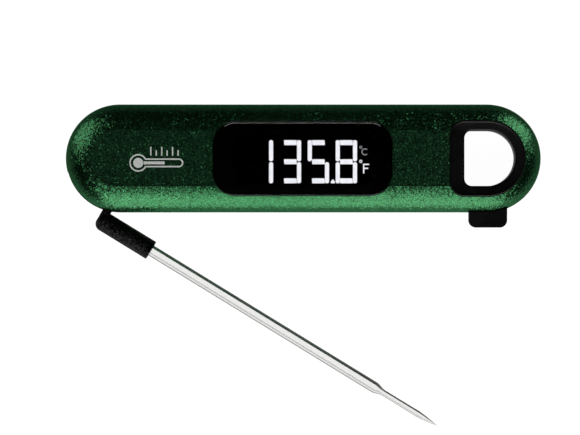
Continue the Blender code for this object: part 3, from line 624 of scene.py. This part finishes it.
def make_materials():
    return {
        "green": green_paint(),
        "black": soft_black(),
        "grip": grip_black(),
        "lens": lens_acrylic(),
        "ink": print_black(),
        "lit": lit_segment("lit_segment", 2.3),
        "dim": lit_segment("dim_segment", 0.5),
        "steel": probe_steel(),
        "mark": plain_plastic("mark_ink", (0.72, 0.75, 0.72), (0.86, 0.89, 0.86), 0.5),
        "zinc": plain_metal("zinc_plate", (0.45, 0.45, 0.47), (0.66, 0.66, 0.69), 0.34),
        "brass": plain_metal("brass", (0.6, 0.42, 0.16), (0.8, 0.62, 0.3), 0.36),
        "silicone": plain_plastic("silicone", (0.2, 0.2, 0.21), (0.3, 0.3, 0.31), 0.62),
        "board": plain_plastic("solder_mask", (0.012, 0.1, 0.035), (0.02, 0.15, 0.055), 0.42),
        "chip": plain_plastic("moulded_chip", (0.01, 0.01, 0.011), (0.022, 0.022, 0.024), 0.55),
        "white": plain_plastic("white_plastic", (0.7, 0.71, 0.7), (0.82, 0.83, 0.82), 0.4),
        "glass": plain_plastic("display_glass", (0.003, 0.003, 0.004), (0.006, 0.006, 0.008), 0.15),
    }


CAD_MATERIALS = {
    "zinc": ["pivot_pin", "friction_washer", "coin_cell", "fold_magnet"] + CASE_SCREWS + BOARD_SCREWS,
    "brass": ["pivot_bush_front", "pivot_bush_back", "battery_contact_negative",
              "battery_contact_positive"],
    "silicone": ["shell_gasket", "lens_seal", "button_seal", "battery_door_seal", "pivot_seal",
                 "lcd_connector_upper", "lcd_connector_lower"],
    "board": ["circuit_board"],
    "chip": ["processor_chip", "fold_sensor", "unit_switch", "battery_holder", "display_frame",
             "board_lead_1", "board_lead_2"],
    "white": ["backlight_guide", "backlight_led", "switch_plunger", "sensor_bead", "probe_lead_1",
              "probe_lead_2"],
    "glass": ["lcd_glass"],
}


def dress_cad_nodes(materials):
    """The CAD's own nodes that stay visible get procedural materials in place."""
    for finish, nodes in CAD_MATERIALS.items():
        for node in nodes:
            mesh = frame["nodes"][node].data
            mesh.materials.clear()
            mesh.materials.append(materials[finish])


# -------------------- casing

def rim_profile():
    """(inset, z) points up the front shell's side, over the rim and down to the sunken panel."""
    points = [(EDGE_BREAK, FRONT_BOTTOM), (0.0, FRONT_BOTTOM + EDGE_BREAK)]
    steps = 30
    edge_angle = math.acos(1 - PANEL_INSET / RIM_RUN)
    for i in range(steps + 1):
        angle = edge_angle * i / steps
        points.append((RIM_RUN * (1 - math.cos(angle)), RIM_START_Z + RIM_RISE * math.sin(angle)))
    points.append((PANEL_INSET, PANEL_Z))
    return points


def back_profile():
    """(inset, z) points from the flat back round its edge and up the back shell's side."""
    points = [(BACK_EDGE_RUN * (1 - sine), BACK_EDGE_RISE * (1 - cosine)) for sine, cosine in quarter(14)]
    points += [(0.0, BACK_TOP - EDGE_BREAK), (EDGE_BREAK, BACK_TOP)]
    return points


def side_cutters():
    """What both shells share: the probe's slot and bed, guard seat, hang opening and rebate."""
    slot = prism("slot", slot_outline(), *SLOT_Z)
    bed_left, bed_right = BED_X
    bed_outline = rectangle(HUB.x + bed_left, HUB.x + bed_right, OUTSIDE_Y, -END_RADIUS + BED_DEPTH)
    bed = prism("bed", bed_outline, *SLOT_Z)
    seat_outline = rectangle(GUARD_LOW.x - GAP, GUARD_HIGH.x + GAP, *GUARD_SEAT_Y)
    seat = prism("seat", seat_outline, *GUARD_SEAT_Z)
    carve(seat, [prism("seat_floor", stadium(GUARD_SEAT_INSET), 0, ABOVE_ALL)])
    spread = LINER_WALL + GAP
    hole_outline = d_shape(LOOP_LEFT - spread, LOOP_RADIUS + spread, LOOP_CORNER + spread)
    hole = prism("hole", hole_outline, BELOW_ALL, ABOVE_ALL)
    rebate = prism("rebate", cavity_outline(WALL - REBATE_WALL),
                   PARTING_Z - REBATE_HALF_HEIGHT, PARTING_Z + REBATE_HALF_HEIGHT)
    return [slot, bed, seat, hole, rebate]


def column(name, radius, x, y, z0, z1):
    return prism(name, circle(radius, 32, x, y), z0, z1)


def columns(names, radius, z0, z1):
    """One upright column on the middle of each of these nodes."""
    items = []
    for name in names:
        low, high = box_mm(name)
        centre = (low + high) / 2
        items.append(column("column_" + name, radius, centre.x, centre.y, z0, z1))
    return items


def make_front_shell(material):
    shell = add_mesh("front_shell_skin", [level(stadium(inset), z) for inset, z in rim_profile()])
    cavity = add_mesh("cavity", [
        level(cavity_outline(WALL), PARTING_Z - OVERRUN),
        level(cavity_outline(WALL), RIM_START_Z),
        level(cavity_outline(WALL + CEILING_TAPER), CEILING_Z),
    ])
    case_posts = columns(CASE_SCREWS, CASE_POST_RADIUS, PARTING_Z + GAP, ABOVE_ALL)
    board_posts = columns(BOARD_SCREWS, BOARD_POST_RADIUS, BOARD_POST_Z, ABOVE_ALL)
    carve(cavity, case_posts + board_posts)
    lens_outline = rounded_rectangle(LENS_X, LENS_LENGTH + 2 * SEAT_GAP, LENS_WIDTH + 2 * SEAT_GAP,
                                     LENS_CORNER)
    window_outline = rounded_rectangle(LENS_X, WINDOW_LENGTH, WINDOW_WIDTH, WINDOW_CORNER)
    collar_outline = d_shape(COLLAR_LEFT - SEAT_GAP, COLLAR_RADIUS + SEAT_GAP, COLLAR_CORNER + SEAT_GAP)
    cutters = [cavity] + side_cutters() + [
        prism("lens_seat", lens_outline, LEDGE_Z, ABOVE_ALL),
        prism("window", window_outline, WINDOW_CUT_Z, ABOVE_ALL),
        prism("collar_seat", collar_outline, COLLAR_SEAT_Z, ABOVE_ALL),
        column("bush", BUSH_RADIUS, HUB.x, HUB.y, *BUSH_Z_FRONT),
        column("pin", PIN_RADIUS, HUB.x, HUB.y, *PIN_Z_FRONT),
    ]
    cutters += columns(CASE_SCREWS, CASE_THREAD_RADIUS, *CASE_THREAD_Z)
    cutters += columns(BOARD_SCREWS, BOARD_THREAD_RADIUS, *BOARD_THREAD_Z)
    carve(shell, cutters)
    soften(shell, width=0.02)
    return dress(shell, material, "housing", "case_paint", "front_shell")


def make_back_shell(material):
    shell = add_mesh("back_shell_skin", [level(stadium(inset), z) for inset, z in back_profile()])
    cavity = add_mesh("cavity", [
        level(cavity_outline(WALL + FLOOR_TAPER), FLOOR_Z),
        level(cavity_outline(WALL), BACK_EDGE_RISE),
        level(cavity_outline(WALL), PARTING_Z + OVERRUN),
    ])
    carve(cavity, columns(CASE_SCREWS, CASE_POST_RADIUS, BELOW_ALL, PARTING_Z - GAP))
    button_hole = circle(BUTTON_HOLE_RADIUS, 64, BUTTON_X, 0)
    door_recess = circle(DOOR_RECESS_RADIUS, 96, DOOR_X, 0)
    door_hole = circle(DOOR_HOLE_RADIUS, 96, DOOR_X, 0)
    cutters = [cavity] + side_cutters() + [
        prism("notch", rectangle(*NOTCH_X, *GUARD_SEAT_Y), *NOTCH_Z),
        column("bush", BUSH_RADIUS, HUB.x, HUB.y, *BUSH_Z_BACK),
        column("pin", PIN_RADIUS, HUB.x, HUB.y, *PIN_Z_BACK),
        prism("button_hole", button_hole, BELOW_ALL, BUTTON_HOLE_TOP),
        prism("door_recess", door_recess, BELOW_ALL, DOOR_RECESS_DEPTH),
        prism("door_hole", door_hole, BELOW_ALL, DOOR_HOLE_TOP),
    ]
    for side in (0, 180):
        outline = sector(DOOR_NOTCH_RADIUS, DOOR_NOTCH_TURN + side, DOOR_NOTCH_SPAN)
        cutters.append(shift_x(prism(f"door_notch_{side}", outline, *DOOR_NOTCH_Z), DOOR_X))
    cutters += columns(CASE_SCREWS, CASE_HEAD_RADIUS, BELOW_ALL, CASE_HEAD_DEPTH)
    cutters += columns(CASE_SCREWS, CASE_SHANK_RADIUS, *CASE_SHANK_Z)
    carve(shell, cutters)
    soften(shell, width=0.14)
    return dress(shell, material, "housing", "case_paint", "back_shell")


def raised_edge(radius, steps, top, step_down):
    """(inset, z) points over a rounded outer edge and down a fine step inside it."""
    points = [(radius * (1 - cosine), top - radius * (1 - sine)) for sine, cosine in quarter(steps)]
    return points + [(inset, top - drop) for inset, drop in step_down]


def make_loop_liner(material):
    """Raised collar, the smooth hole inside it and the barrel outside, as one closed sweep."""
    collar = (COLLAR_LEFT, COLLAR_RADIUS, COLLAR_CORNER)
    barrel = (LOOP_LEFT - LINER_WALL, LOOP_RADIUS + LINER_WALL, LOOP_CORNER + LINER_WALL)
    hole = (LOOP_LEFT, LOOP_RADIUS, LOOP_CORNER)
    top = LINER_HIGH.z
    foot = LINER_LOW.z
    seat = 18.1
    outer_round = 0.25
    inner_round = 0.6
    step_down = ((0.4, 0.0), (0.46, 0.02), (0.68, 0.15), (0.78, 0.17))
    inner_top = top - 0.17
    hole_foot = ((0.0, 0.9), (-0.15, 0.55), (-0.5, foot))
    barrel_break = 0.15
    stations = [(collar, 0.0, seat)]
    stations += [(collar, inset, z) for inset, z in raised_edge(outer_round, 4, top, step_down)]
    for sine, cosine in quarter(6):
        stations.append((hole, -inner_round * (1 - sine), inner_top - inner_round * (1 - cosine)))
    stations += [(hole, inset, z) for inset, z in hole_foot]
    stations += [(barrel, barrel_break, foot), (barrel, 0.0, foot + barrel_break), (barrel, 0.0, seat)]
    rings = []
    for (left, radius, corner), inset, z in stations:
        rings.append(level(d_shape(left + inset, radius - inset, corner - inset), z))
    liner = shade(add_mesh("loop_liner_skin", rings, closed=True), angle=50)
    return dress(liner, material, "housing", "soft_black", "loop_liner")


def make_tip_guard(material):
    """A block with the needle's groove, held by a neck and a flange inside the casing."""
    x0, x1 = GUARD_LOW.x, GUARD_HIGH.x
    corner = 2.6
    corner_y = GUARD_LOW.y + corner
    outline = [(x1, GUARD_INNER_Y), (x0, GUARD_INNER_Y)]
    outline += arc(x0 + corner, corner_y, corner, 180, 270, 14)
    outline += arc(x1 - corner, corner_y, corner, 270, 360, 14)
    guard = prism("tip_guard_skin", outline, *GUARD_Z)
    neck = prism("neck", rectangle(*NECK_X, *NECK_Y), *NECK_Z)
    flange_outline = rectangle(*NECK_X, FLANGE_Y, GUARD_HIGH.y)
    flange = prism("flange", flange_outline, GUARD_LOW.z, FLANGE_TOP)
    groove_outline = rectangle(x0 - 2 * OVERRUN, x1 + 2 * OVERRUN, *GROOVE_Y)
    groove = prism("groove", groove_outline, HUB.z - HALF_GROOVE, HUB.z + HALF_GROOVE)
    carve(guard, [prism("body", stadium(GUARD_INSET), 0, ABOVE_ALL)])
    carve(guard, [groove], [neck, flange])
    soften(guard, width=0.5, segments=4)
    return dress(guard, material, "housing", "soft_black", "tip_guard")


# -------------------- display

def make_lens(materials):
    """Smoked window with a rounded rim, and the black print on its underside."""
    top = LENS_HIGH.z
    bottom = LENS_LOW.z
    edge = 0.28
    step_down = ((0.5, 0.0), (0.56, 0.02), (0.78, 0.16), (0.86, 0.18))
    rings = []
    for inset, z in [(0.0, bottom)] + raised_edge(edge, 5, top, step_down):
        outline = rounded_rectangle(LENS_X, LENS_LENGTH - 2 * inset, LENS_WIDTH - 2 * inset,
                                    LENS_CORNER - inset)
        rings.append(level(outline, z))
    lens = shade(add_mesh("display_lens_window", rings), angle=50)
    dress(lens, materials["lens"], "housing", "lens_black", "display_lens")

    print_gap, print_thickness, inset = 0.03, 0.1, 0.15
    print_top = bottom - print_gap
    print_bottom = print_top - print_thickness
    outer = rounded_rectangle(LENS_X, LENS_LENGTH - 2 * inset, LENS_WIDTH - 2 * inset,
                              LENS_CORNER - inset)
    clear_length = WINDOW_LENGTH - 8
    clear_width = WINDOW_WIDTH - 1.5
    inner = rounded_rectangle(LENS_X, clear_length, clear_width, WINDOW_CORNER)
    rings = [level(outer, print_bottom), level(outer, print_top),
             level(inner, print_top), level(inner, print_bottom)]
    sheet = add_mesh("display_print", rings, closed=True)
    dress(sheet, materials["ink"], "housing", "lens_black")
    return lens


READOUT_RIGHT = 18.85
DIGIT_WIDTH = 7.5
DIGIT_PITCH = 9.8
BAR = 1.45
CROSSBAR = 1.75
DIGIT_TOP = 6.4
DIGIT_BOTTOM = -8.8
SEGMENTS = {"1": "bc", "3": "abgcd", "5": "afgcd", "8": "abcdefg"}


def segment_outline(segment, left):
    """One bar of a seven-bar digit, named a to f clockwise from the top, with g in the middle."""
    right = left + DIGIT_WIDTH
    middle = (DIGIT_TOP + DIGIT_BOTTOM) / 2
    slit = 0.16
    corner = 0.45
    if segment in "adg":
        y = {"a": DIGIT_TOP - CROSSBAR / 2, "d": DIGIT_BOTTOM + CROSSBAR / 2, "g": middle}[segment]
        x0, x1 = left + BAR + slit, right - BAR - slit
        tilt = 0.12
        return [(x0, y - CROSSBAR / 2), (x1 + tilt, y - CROSSBAR / 2), (x1, y + CROSSBAR / 2),
                (x0 - tilt, y + CROSSBAR / 2)]
    x0 = right - BAR if segment in "bc" else left
    x1 = x0 + BAR
    y0, y1 = (middle + slit, DIGIT_TOP) if segment in "bf" else (DIGIT_BOTTOM, middle - slit)
    return [(x0 + corner, y0), (x1 - corner, y0), (x1, y0 + corner), (x1, y1 - corner),
            (x1 - corner, y1), (x0 + corner, y1), (x0, y1 - corner), (x0, y0 + corner)]


def point_outline(x):
    """The decimal point: a small block that narrows towards its top."""
    foot, belly, crown = 0.65, 0.75, 0.1
    belly_y, crown_y = -8.3, -7.4
    return [(x - foot, DIGIT_BOTTOM), (x + foot, DIGIT_BOTTOM), (x + belly, belly_y),
            (x + crown, crown_y), (x - crown, crown_y), (x - belly, belly_y)]


def open_ring(x, y, radius, width, half_gap):
    """A ring open at its right: a letter C, or a degree sign when the gap is a hair slit."""
    start, end = half_gap, 360 - half_gap
    return arc(x, y, radius, start, end, 20) + arc(x, y, radius - width, end, start, 20)


def letter_f(x, y, size, width):
    arm = size * 1.25
    crossbar_end = x + arm * 0.85
    crossbar_y = y + size * 0.05
    low, high = crossbar_y - width / 2, crossbar_y + width / 2
    bottom = y - size
    top = bottom + size * 2
    return [
        (x, bottom), (x + width, bottom), (x + width, low), (crossbar_end, low), (crossbar_end, high),
        (x + width, high), (x + width, top - width), (x + arm, top - width), (x + arm, top), (x, top),
    ]


def flat_shapes(name, outlines, z, thickness=0.05):
    """Several thin plates in one object, for lit segments and printed marks."""
    work = bmesh.new()
    for outline in outlines:
        lower = [work.verts.new((x * MM, y * MM, z * MM)) for x, y in outline]
        upper = [work.verts.new((x * MM, y * MM, (z + thickness) * MM)) for x, y in outline]
        work.faces.new(list(reversed(lower)))
        work.faces.new(upper)
        count = len(outline)
        for i in range(count):
            j = (i + 1) % count
            work.faces.new((lower[i], lower[j], upper[j], upper[i]))
    bmesh.ops.recalc_face_normals(work, faces=work.faces)
    bmesh.ops.triangulate(work, faces=[face for face in work.faces if len(face.verts) > 4])
    mesh = bpy.data.meshes.new(name)
    work.to_mesh(mesh)
    work.free()
    return link(bpy.data.objects.new(name, mesh))


def make_readout(materials):
    """The reading 135.8 with its unit signs, on the front of the display glass."""
    film_gap = 0.02
    z = GLASS_HIGH.z + film_gap
    first = READOUT_RIGHT - DIGIT_WIDTH - 3 * DIGIT_PITCH
    bars = []
    for place_number, digit in enumerate("1358"):
        left = first + place_number * DIGIT_PITCH
        bars += [segment_outline(segment, left) for segment in SEGMENTS[digit]]
    point_shift = 0.97
    bars.append(point_outline(first + 3 * DIGIT_PITCH - point_shift))
    degree = {"x": 20.15, "radius": 0.55, "width": 0.28, "half_gap": 2}
    lit_unit = [open_ring(y=-1.05, **degree), letter_f(x=20.95, y=-3.6, size=1.7, width=0.45)]
    dim_letter = open_ring(x=21.6, y=2.3, radius=1.25, width=0.4, half_gap=45)
    dim_unit = [open_ring(y=3.9, **degree), dim_letter]
    dress(flat_shapes("readout_digits", bars, z), materials["lit"], "housing", "panel_glass")
    dress(flat_shapes("readout_unit_on", lit_unit, z), materials["lit"], "housing", "panel_glass")
    dress(flat_shapes("readout_unit_off", dim_unit, z), materials["dim"], "housing", "panel_glass")


def make_face_mark(material):
    """A plain thermometer pictogram with a scale, printed on the face panel."""
    x, y = -57.6, -1.6
    bulb, line, tube = 3.1, 0.5, 1.55
    length = 14.2
    meet = math.degrees(math.asin(tube / bulb))
    inner_meet = math.degrees(math.asin((tube - line) / (bulb - line)))
    outer = arc(x, y, bulb, 181, 360 - meet, 22)
    outer += arc(x + length, y, tube, -90, 90, 14)
    outer += arc(x, y, bulb, meet, 179, 22)
    inner = arc(x, y, bulb - line, 179, inner_meet, 22)
    inner += arc(x + length, y, tube - line, 90, -90, 14)
    inner += arc(x, y, bulb - line, 360 - inner_meet, 181, 22)
    filled_bulb, column_start, column_end, half_column = 1.75, 1.9, 9.2, 0.5
    filling = rectangle(x + column_start, x + column_end, y - half_column, y + half_column)
    outlines = [outer + inner, circle(filled_bulb, 28, x, y), filling]
    first_tick, pitch, half_tick, short_tick, long_tick = 4.4, 1.9, 0.22, 1.9, 3.1
    foot = y + 2.5
    for i in range(6):
        reach = short_tick if i % 2 else long_tick
        tick = x + first_tick + pitch * i
        outlines.append(rectangle(tick - half_tick, tick + half_tick, foot, foot + reach))
    ink_gap, ink_thickness = 0.005, 0.02
    mark = flat_shapes("face_mark", outlines, PANEL_Z + ink_gap, ink_thickness)
    return dress(mark, material, "housing", "white_plastic")


# -------------------- back: button, door

def make_unit_button(material):
    """A shallow domed cap with a rounded edge, a flange that keeps it in, and its stem."""
    cap = 4.5
    low = BUTTON_LOW.z
    centre = 0.15
    dome = 0.28
    edge = 0.75
    dome_steps = 5
    profile = []
    for i in range(dome_steps + 1):
        t = i / dome_steps
        profile.append((centre + (cap - edge - centre) * t, low + dome * (1 - t * t)))
    for sine, cosine in quarter(6)[1:]:
        profile.append((cap - edge + edge * sine, low + edge * (1 - cosine)))
    flange = cap + 1.5
    flange_low, flange_high = 3.4, 4.2
    stem, stem_end = 1.4, 6.6
    break_size = 0.1
    profile += [(cap, flange_low), (flange - break_size, flange_low), (flange, flange_low + break_size),
                (flange, flange_high - break_size), (flange - break_size, flange_high),
                (stem, flange_high), (stem, stem_end), (stem - break_size, BUTTON_HIGH.z)]
    button = shade(shift_x(turned("unit_button_cap", profile), BUTTON_X))
    return dress(button, material, "unit_button", "soft_black", "unit_button")


def make_battery_door(material):
    """A disc with a coin slot and a small arrow outside, and two bayonet lugs on its hub."""
    radius = (DOOR_HIGH.x - DOOR_LOW.x) / 2
    low, high = DOOR_LOW.z, DOOR_HIGH.z
    disc_top = 1.0
    hub = 11.6
    edge, belly, hub_break = 0.3, 0.09, 0.1
    profile = [(radius - edge, low), (radius - belly, low + belly), (radius, low + edge),
               (radius, disc_top), (hub, disc_top), (hub, high - hub_break), (hub - hub_break, high)]
    door = turned("battery_door_disc", profile, segments=128)
    lug_radius, lug_turn, lug_span = 12.7, 90, 40
    lug_z = (2.8, 3.6)
    lugs = [prism(f"lug_{side}", sector(lug_radius, lug_turn + side, lug_span), *lug_z)
            for side in (0, 180)]
    coin_outline = rounded_rectangle(0, length=15, width=2.2, corner=1.0)
    slot_depth = 1.9
    slot = prism("coin_slot", coin_outline, BELOW_ALL, slot_depth)
    arrow_depth = 0.25
    arrow = prism("arrow", [(-1.1, 9.6), (1.1, 9.6), (0, 11.2)], BELOW_ALL, low + arrow_depth)
    carve(door, [slot, arrow], lugs)
    soften(shift_x(door, DOOR_X), width=0.12)
    return dress(door, material, "battery_door", "soft_black", "battery_door")


# -------------------- probe

def into_probe_frame(item):
    """Turn a piece modelled along X from the pivot into its place at rest."""
    turn = Matrix.Translation(HUB * MM) @ Matrix.Rotation(PROBE_ANGLE, 4, "Z")
    item.data.transform(turn)
    return item


def make_probe_arm(material):
    """The rounded arm with its root's hub, bored for the pin, the rod and the leads."""
    start, end = -1.5, 20.4
    radius = 3.5
    start_round = 2.6
    end_round = 0.3
    profile = []
    for sine, cosine in quarter(16):
        profile.append((start + start_round * (1 - cosine), radius - start_round * (1 - sine)))
    for sine, cosine in quarter(4):
        profile.append((end - end_round + end_round * sine, radius - end_round + end_round * cosine))
    arm = turned_on_probe("probe_arm_skin", profile, segments=72)
    half_hub, half_web, web_side = 3.0, 2.7, 1.5
    hub = prism("hub", circle(HUB_RADIUS, 64), -half_hub, half_hub)
    web_outline = rectangle(-web_side, web_side, -CRANK + 1, -1.5)
    web = prism("web", web_outline, -half_web, half_web)
    past_hub = 5
    pin_bore = prism("pin_bore", circle(PIN_BORE_IN_ARM, 40), -past_hub, past_hub)
    rod_seat, rod_bore_radius, lead_bore_radius = 6.7, 2.2, 1.25
    past_end = 30
    rod_bore = turned_on_probe("rod_bore", [(rod_seat, rod_bore_radius), (past_end, rod_bore_radius)])
    lead_run = [(1.2, lead_bore_radius), (rod_seat + 0.3, lead_bore_radius)]
    lead_bore = turned_on_probe("lead_bore", lead_run, segments=32)
    carve(arm, [pin_bore, rod_bore, lead_bore], [hub, web])
    soften(arm, width=0.16, segments=3)
    into_probe_frame(arm)
    return dress(arm, material, "probe", "soft_black", "probe_arm")


def make_probe_tube(material):
    """The drawn tube: rod, smooth shoulder, needle and point, hollow from its open end."""
    open_end = 7.1
    shoulder_start, shoulder_end = 111.8, 116.0
    needle_end, tip = 130.1, 138.0
    rod, needle = 2.0, 1.1
    rod_bore, needle_bore = 1.6, 0.7
    break_size = 0.08
    rod_steps = 30
    curve_steps = 12
    profile = [(open_end, rod - break_size), (open_end + break_size, rod)]
    for i in range(1, rod_steps):
        profile.append((open_end + (shoulder_start - open_end) * i / rod_steps, rod))
    for i in range(curve_steps + 1):
        t = i / curve_steps
        ease = t * t * (3 - 2 * t)
        profile.append((shoulder_start + (shoulder_end - shoulder_start) * t, rod + (needle - rod) * ease))
    profile.append(((shoulder_end + needle_end) / 2, needle))
    blunt, fullness = 0.04, 0.12
    for i in range(curve_steps + 1):
        t = i / curve_steps
        radius = needle * (1 - t) + blunt + fullness * math.sin(math.pi * t)
        profile.append((needle_end + (tip - needle_end) * t, radius))
    tube = turned_on_probe("probe_tube_skin", profile, segments=72)
    bore = [(open_end - 1, rod_bore), (shoulder_start - 1.5, rod_bore),
            (shoulder_end + 1, needle_bore), (needle_end - 0.5, needle_bore)]
    carve(tube, [turned_on_probe("bore", bore, segments=48)])
    shade(tube, angle=40)
    into_probe_frame(tube)
    return dress(tube, material, "probe", "probe_steel", "probe_tube")


# -------------------- stage, lights, camera

def self_lit(name, tone_low, tone_high, strength):
    """Pale paper that glows evenly, so that it stays white under any light."""
    paper = Recipe(name, (0.3, 0.3, 0.3), metallic=0.0, roughness=0.9)
    tone = paper.noise(900, detail=2.0)
    paper.colour(paper.blend(tone, (0.28, 0.28, 0.28), (0.32, 0.32, 0.32)))
    glow = paper.blend(tone, (tone_low,) * 3, (tone_high,) * 3)
    paper.link(glow, paper.shader.inputs["Emission Color"])
    paper.set("Emission Strength", strength)
    paper.set("Specular IOR Level", 0.1)
    return paper


def make_floor():
    """Plain pale floor, seen from above only."""
    half = 5.4
    just_below = -0.0002
    mesh = bpy.data.meshes.new("floor")
    corners = [(-half, -half, 0), (half, -half, 0), (half, half, 0), (-half, half, 0)]
    mesh.from_pydata(corners, [], [(0, 1, 2, 3)])
    floor = link(bpy.data.objects.new("floor", mesh))
    floor.location.z = just_below
    floor.visible_glossy = False
    floor.visible_shadow = False
    paper = self_lit("pale_floor", 0.985, 1.0, 0.985)
    nodes = paper.tree.nodes
    side = nodes.new("ShaderNodeNewGeometry").outputs["Backfacing"]
    see_through = nodes.new("ShaderNodeBsdfTransparent").outputs["BSDF"]
    mix = nodes.new("ShaderNodeMixShader")
    paper.link(side, mix.inputs[0])
    paper.link(paper.shader.outputs["BSDF"], mix.inputs[1])
    paper.link(see_through, mix.inputs[2])
    paper.link(mix.outputs["Shader"], nodes["Material Output"].inputs["Surface"])
    mesh.materials.append(paper.material)


def make_backdrop():
    """A pale dome round the floor that only the camera sees."""
    work = bmesh.new()
    bmesh.ops.create_uvsphere(work, u_segments=48, v_segments=24, radius=5.6)
    dome_mesh = bpy.data.meshes.new("backdrop")
    work.to_mesh(dome_mesh)
    work.free()
    dome_mesh.shade_smooth()
    dome = link(bpy.data.objects.new("backdrop", dome_mesh))
    for ray in ("glossy", "diffuse", "transmission", "shadow"):
        setattr(dome, "visible_" + ray, False)
    dome_mesh.materials.append(self_lit("pale_backdrop", 0.98, 1.0, 1.0).material)


def pick(light, items, state):
    """Let a light reach only some objects, or all but those."""
    group = bpy.data.collections.new(light.name + "_receivers")
    for item in items:
        group.objects.link(item)
    for entry in group.collection_objects:
        entry.light_linking.link_state = state
    light.light_linking.receiver_collection = group


def from_sky(azimuth, elevation, distance):
    """A point at the given bearing from the casing's middle, in degrees and metres."""
    a, e = math.radians(azimuth), math.radians(elevation)
    return Vector((distance * math.cos(e) * math.cos(a), distance * math.cos(e) * math.sin(a),
                   distance * math.sin(e)))


def soft_box(name, azimuth, elevation, size, radiance, distance=1.25):
    """A softbox aimed at the casing; its power follows from how bright its face looks."""
    data = bpy.data.lights.new(name, "AREA")
    data.shape = "RECTANGLE"
    data.size, data.size_y = size
    data.energy = radiance * math.pi * size[0] * size[1]
    place = from_sky(azimuth, elevation, distance)
    light = link(bpy.data.objects.new(name, data))
    light.location = place
    light.rotation_euler = (-place).to_track_quat("-Z", "Y").to_euler()
    light.visible_camera = False
    return light


def studio_world():
    """Dim room: light comes from low down, most of it from the front, and the ceiling is dark."""
    world = bpy.data.worlds.new("studio")
    world.use_nodes = True
    tree = world.node_tree
    split = tree.nodes.new("ShaderNodeSeparateXYZ")
    tree.links.new(tree.nodes.new("ShaderNodeTexCoord").outputs["Generated"], split.inputs["Vector"])
    height = map_range(tree, split.outputs["Z"], start=0.02, end=0.17, low=1.0, high=0.0)
    front = map_range(tree, split.outputs["Y"], start=-0.88, end=-0.45, low=0.34, high=0.0)
    around = map_range(tree, split.outputs["Y"], start=-0.5, end=0.9, low=0.33, high=0.12)
    everywhere = 0.0003
    both = math_node(tree, "ShaderNodeMath", "ADD", front, around)
    glow = math_node(tree, "ShaderNodeMath", "MULTIPLY_ADD", height, both, everywhere)
    background = tree.nodes["Background"]
    background.inputs["Color"].default_value = (1, 1, 1, 1)
    tree.links.new(glow, background.inputs["Strength"])
    bpy.context.scene.world = world


def make_lights(tube, arm, trim):
    """Softboxes for the paint and the trim, and two more for the polished rod alone."""
    front = soft_box("front_strip", -90, 26, size=(1.1, 1.04), radiance=2.6)
    high = soft_box("front_high", -90, 57, size=(0.9, 0.42), radiance=1.25)
    above = soft_box("overhead", -90, 84, size=(0.7, 0.7), radiance=0.115)
    left = soft_box("back_left_box", 149, 24, size=(0.6, 1.15), radiance=1.75)
    right = soft_box("back_right_box", 39, 25, size=(0.75, 1.05), radiance=2.3)
    rod_above = soft_box("rod_overhead", 58.5, 84, size=(3.6, 3.6), radiance=1.15, distance=1.5)
    rod_low = soft_box("rod_low", -121.5, 18, size=(3.0, 1.1), radiance=0.95, distance=1.5)
    pick(front, [tube], "EXCLUDE")
    pick(high, [tube, arm], "EXCLUDE")
    for light in (above, left, right):
        pick(light, [tube, arm] + trim, "EXCLUDE")
    for light in (rod_above, rod_low):
        pick(light, [tube], "INCLUDE")
    studio_world()


def make_camera():
    """Straight above, with the display upright; a long lens, as in a catalogue picture."""
    data = bpy.data.cameras.new("camera")
    data.sensor_width = 36
    data.lens = 400
    data.clip_start = 0.05
    data.clip_end = 30
    camera = link(bpy.data.objects.new("camera", data))
    view_width = 0.2028
    view_x, view_y = -0.00464, -0.02066
    subject_z = 0.014
    distance = view_width * data.lens / data.sensor_width
    camera.location = (view_x, view_y, subject_z + distance)
    bpy.context.scene.camera = camera
    bpy.context.scene.view_settings.view_transform = "Standard"


def main():
    materials = make_materials()
    dress_cad_nodes(materials)
    make_front_shell(materials["green"])
    make_back_shell(materials["green"])
    liner = make_loop_liner(materials["black"])
    guard = make_tip_guard(materials["black"])
    window = make_lens(materials)
    make_readout(materials)
    make_face_mark(materials["mark"])
    make_unit_button(materials["black"])
    make_battery_door(materials["black"])
    arm = make_probe_arm(materials["grip"])
    tube = make_probe_tube(materials["steel"])
    make_floor()
    make_backdrop()
    make_lights(tube, arm, [liner, guard, window])
    make_camera()


main()
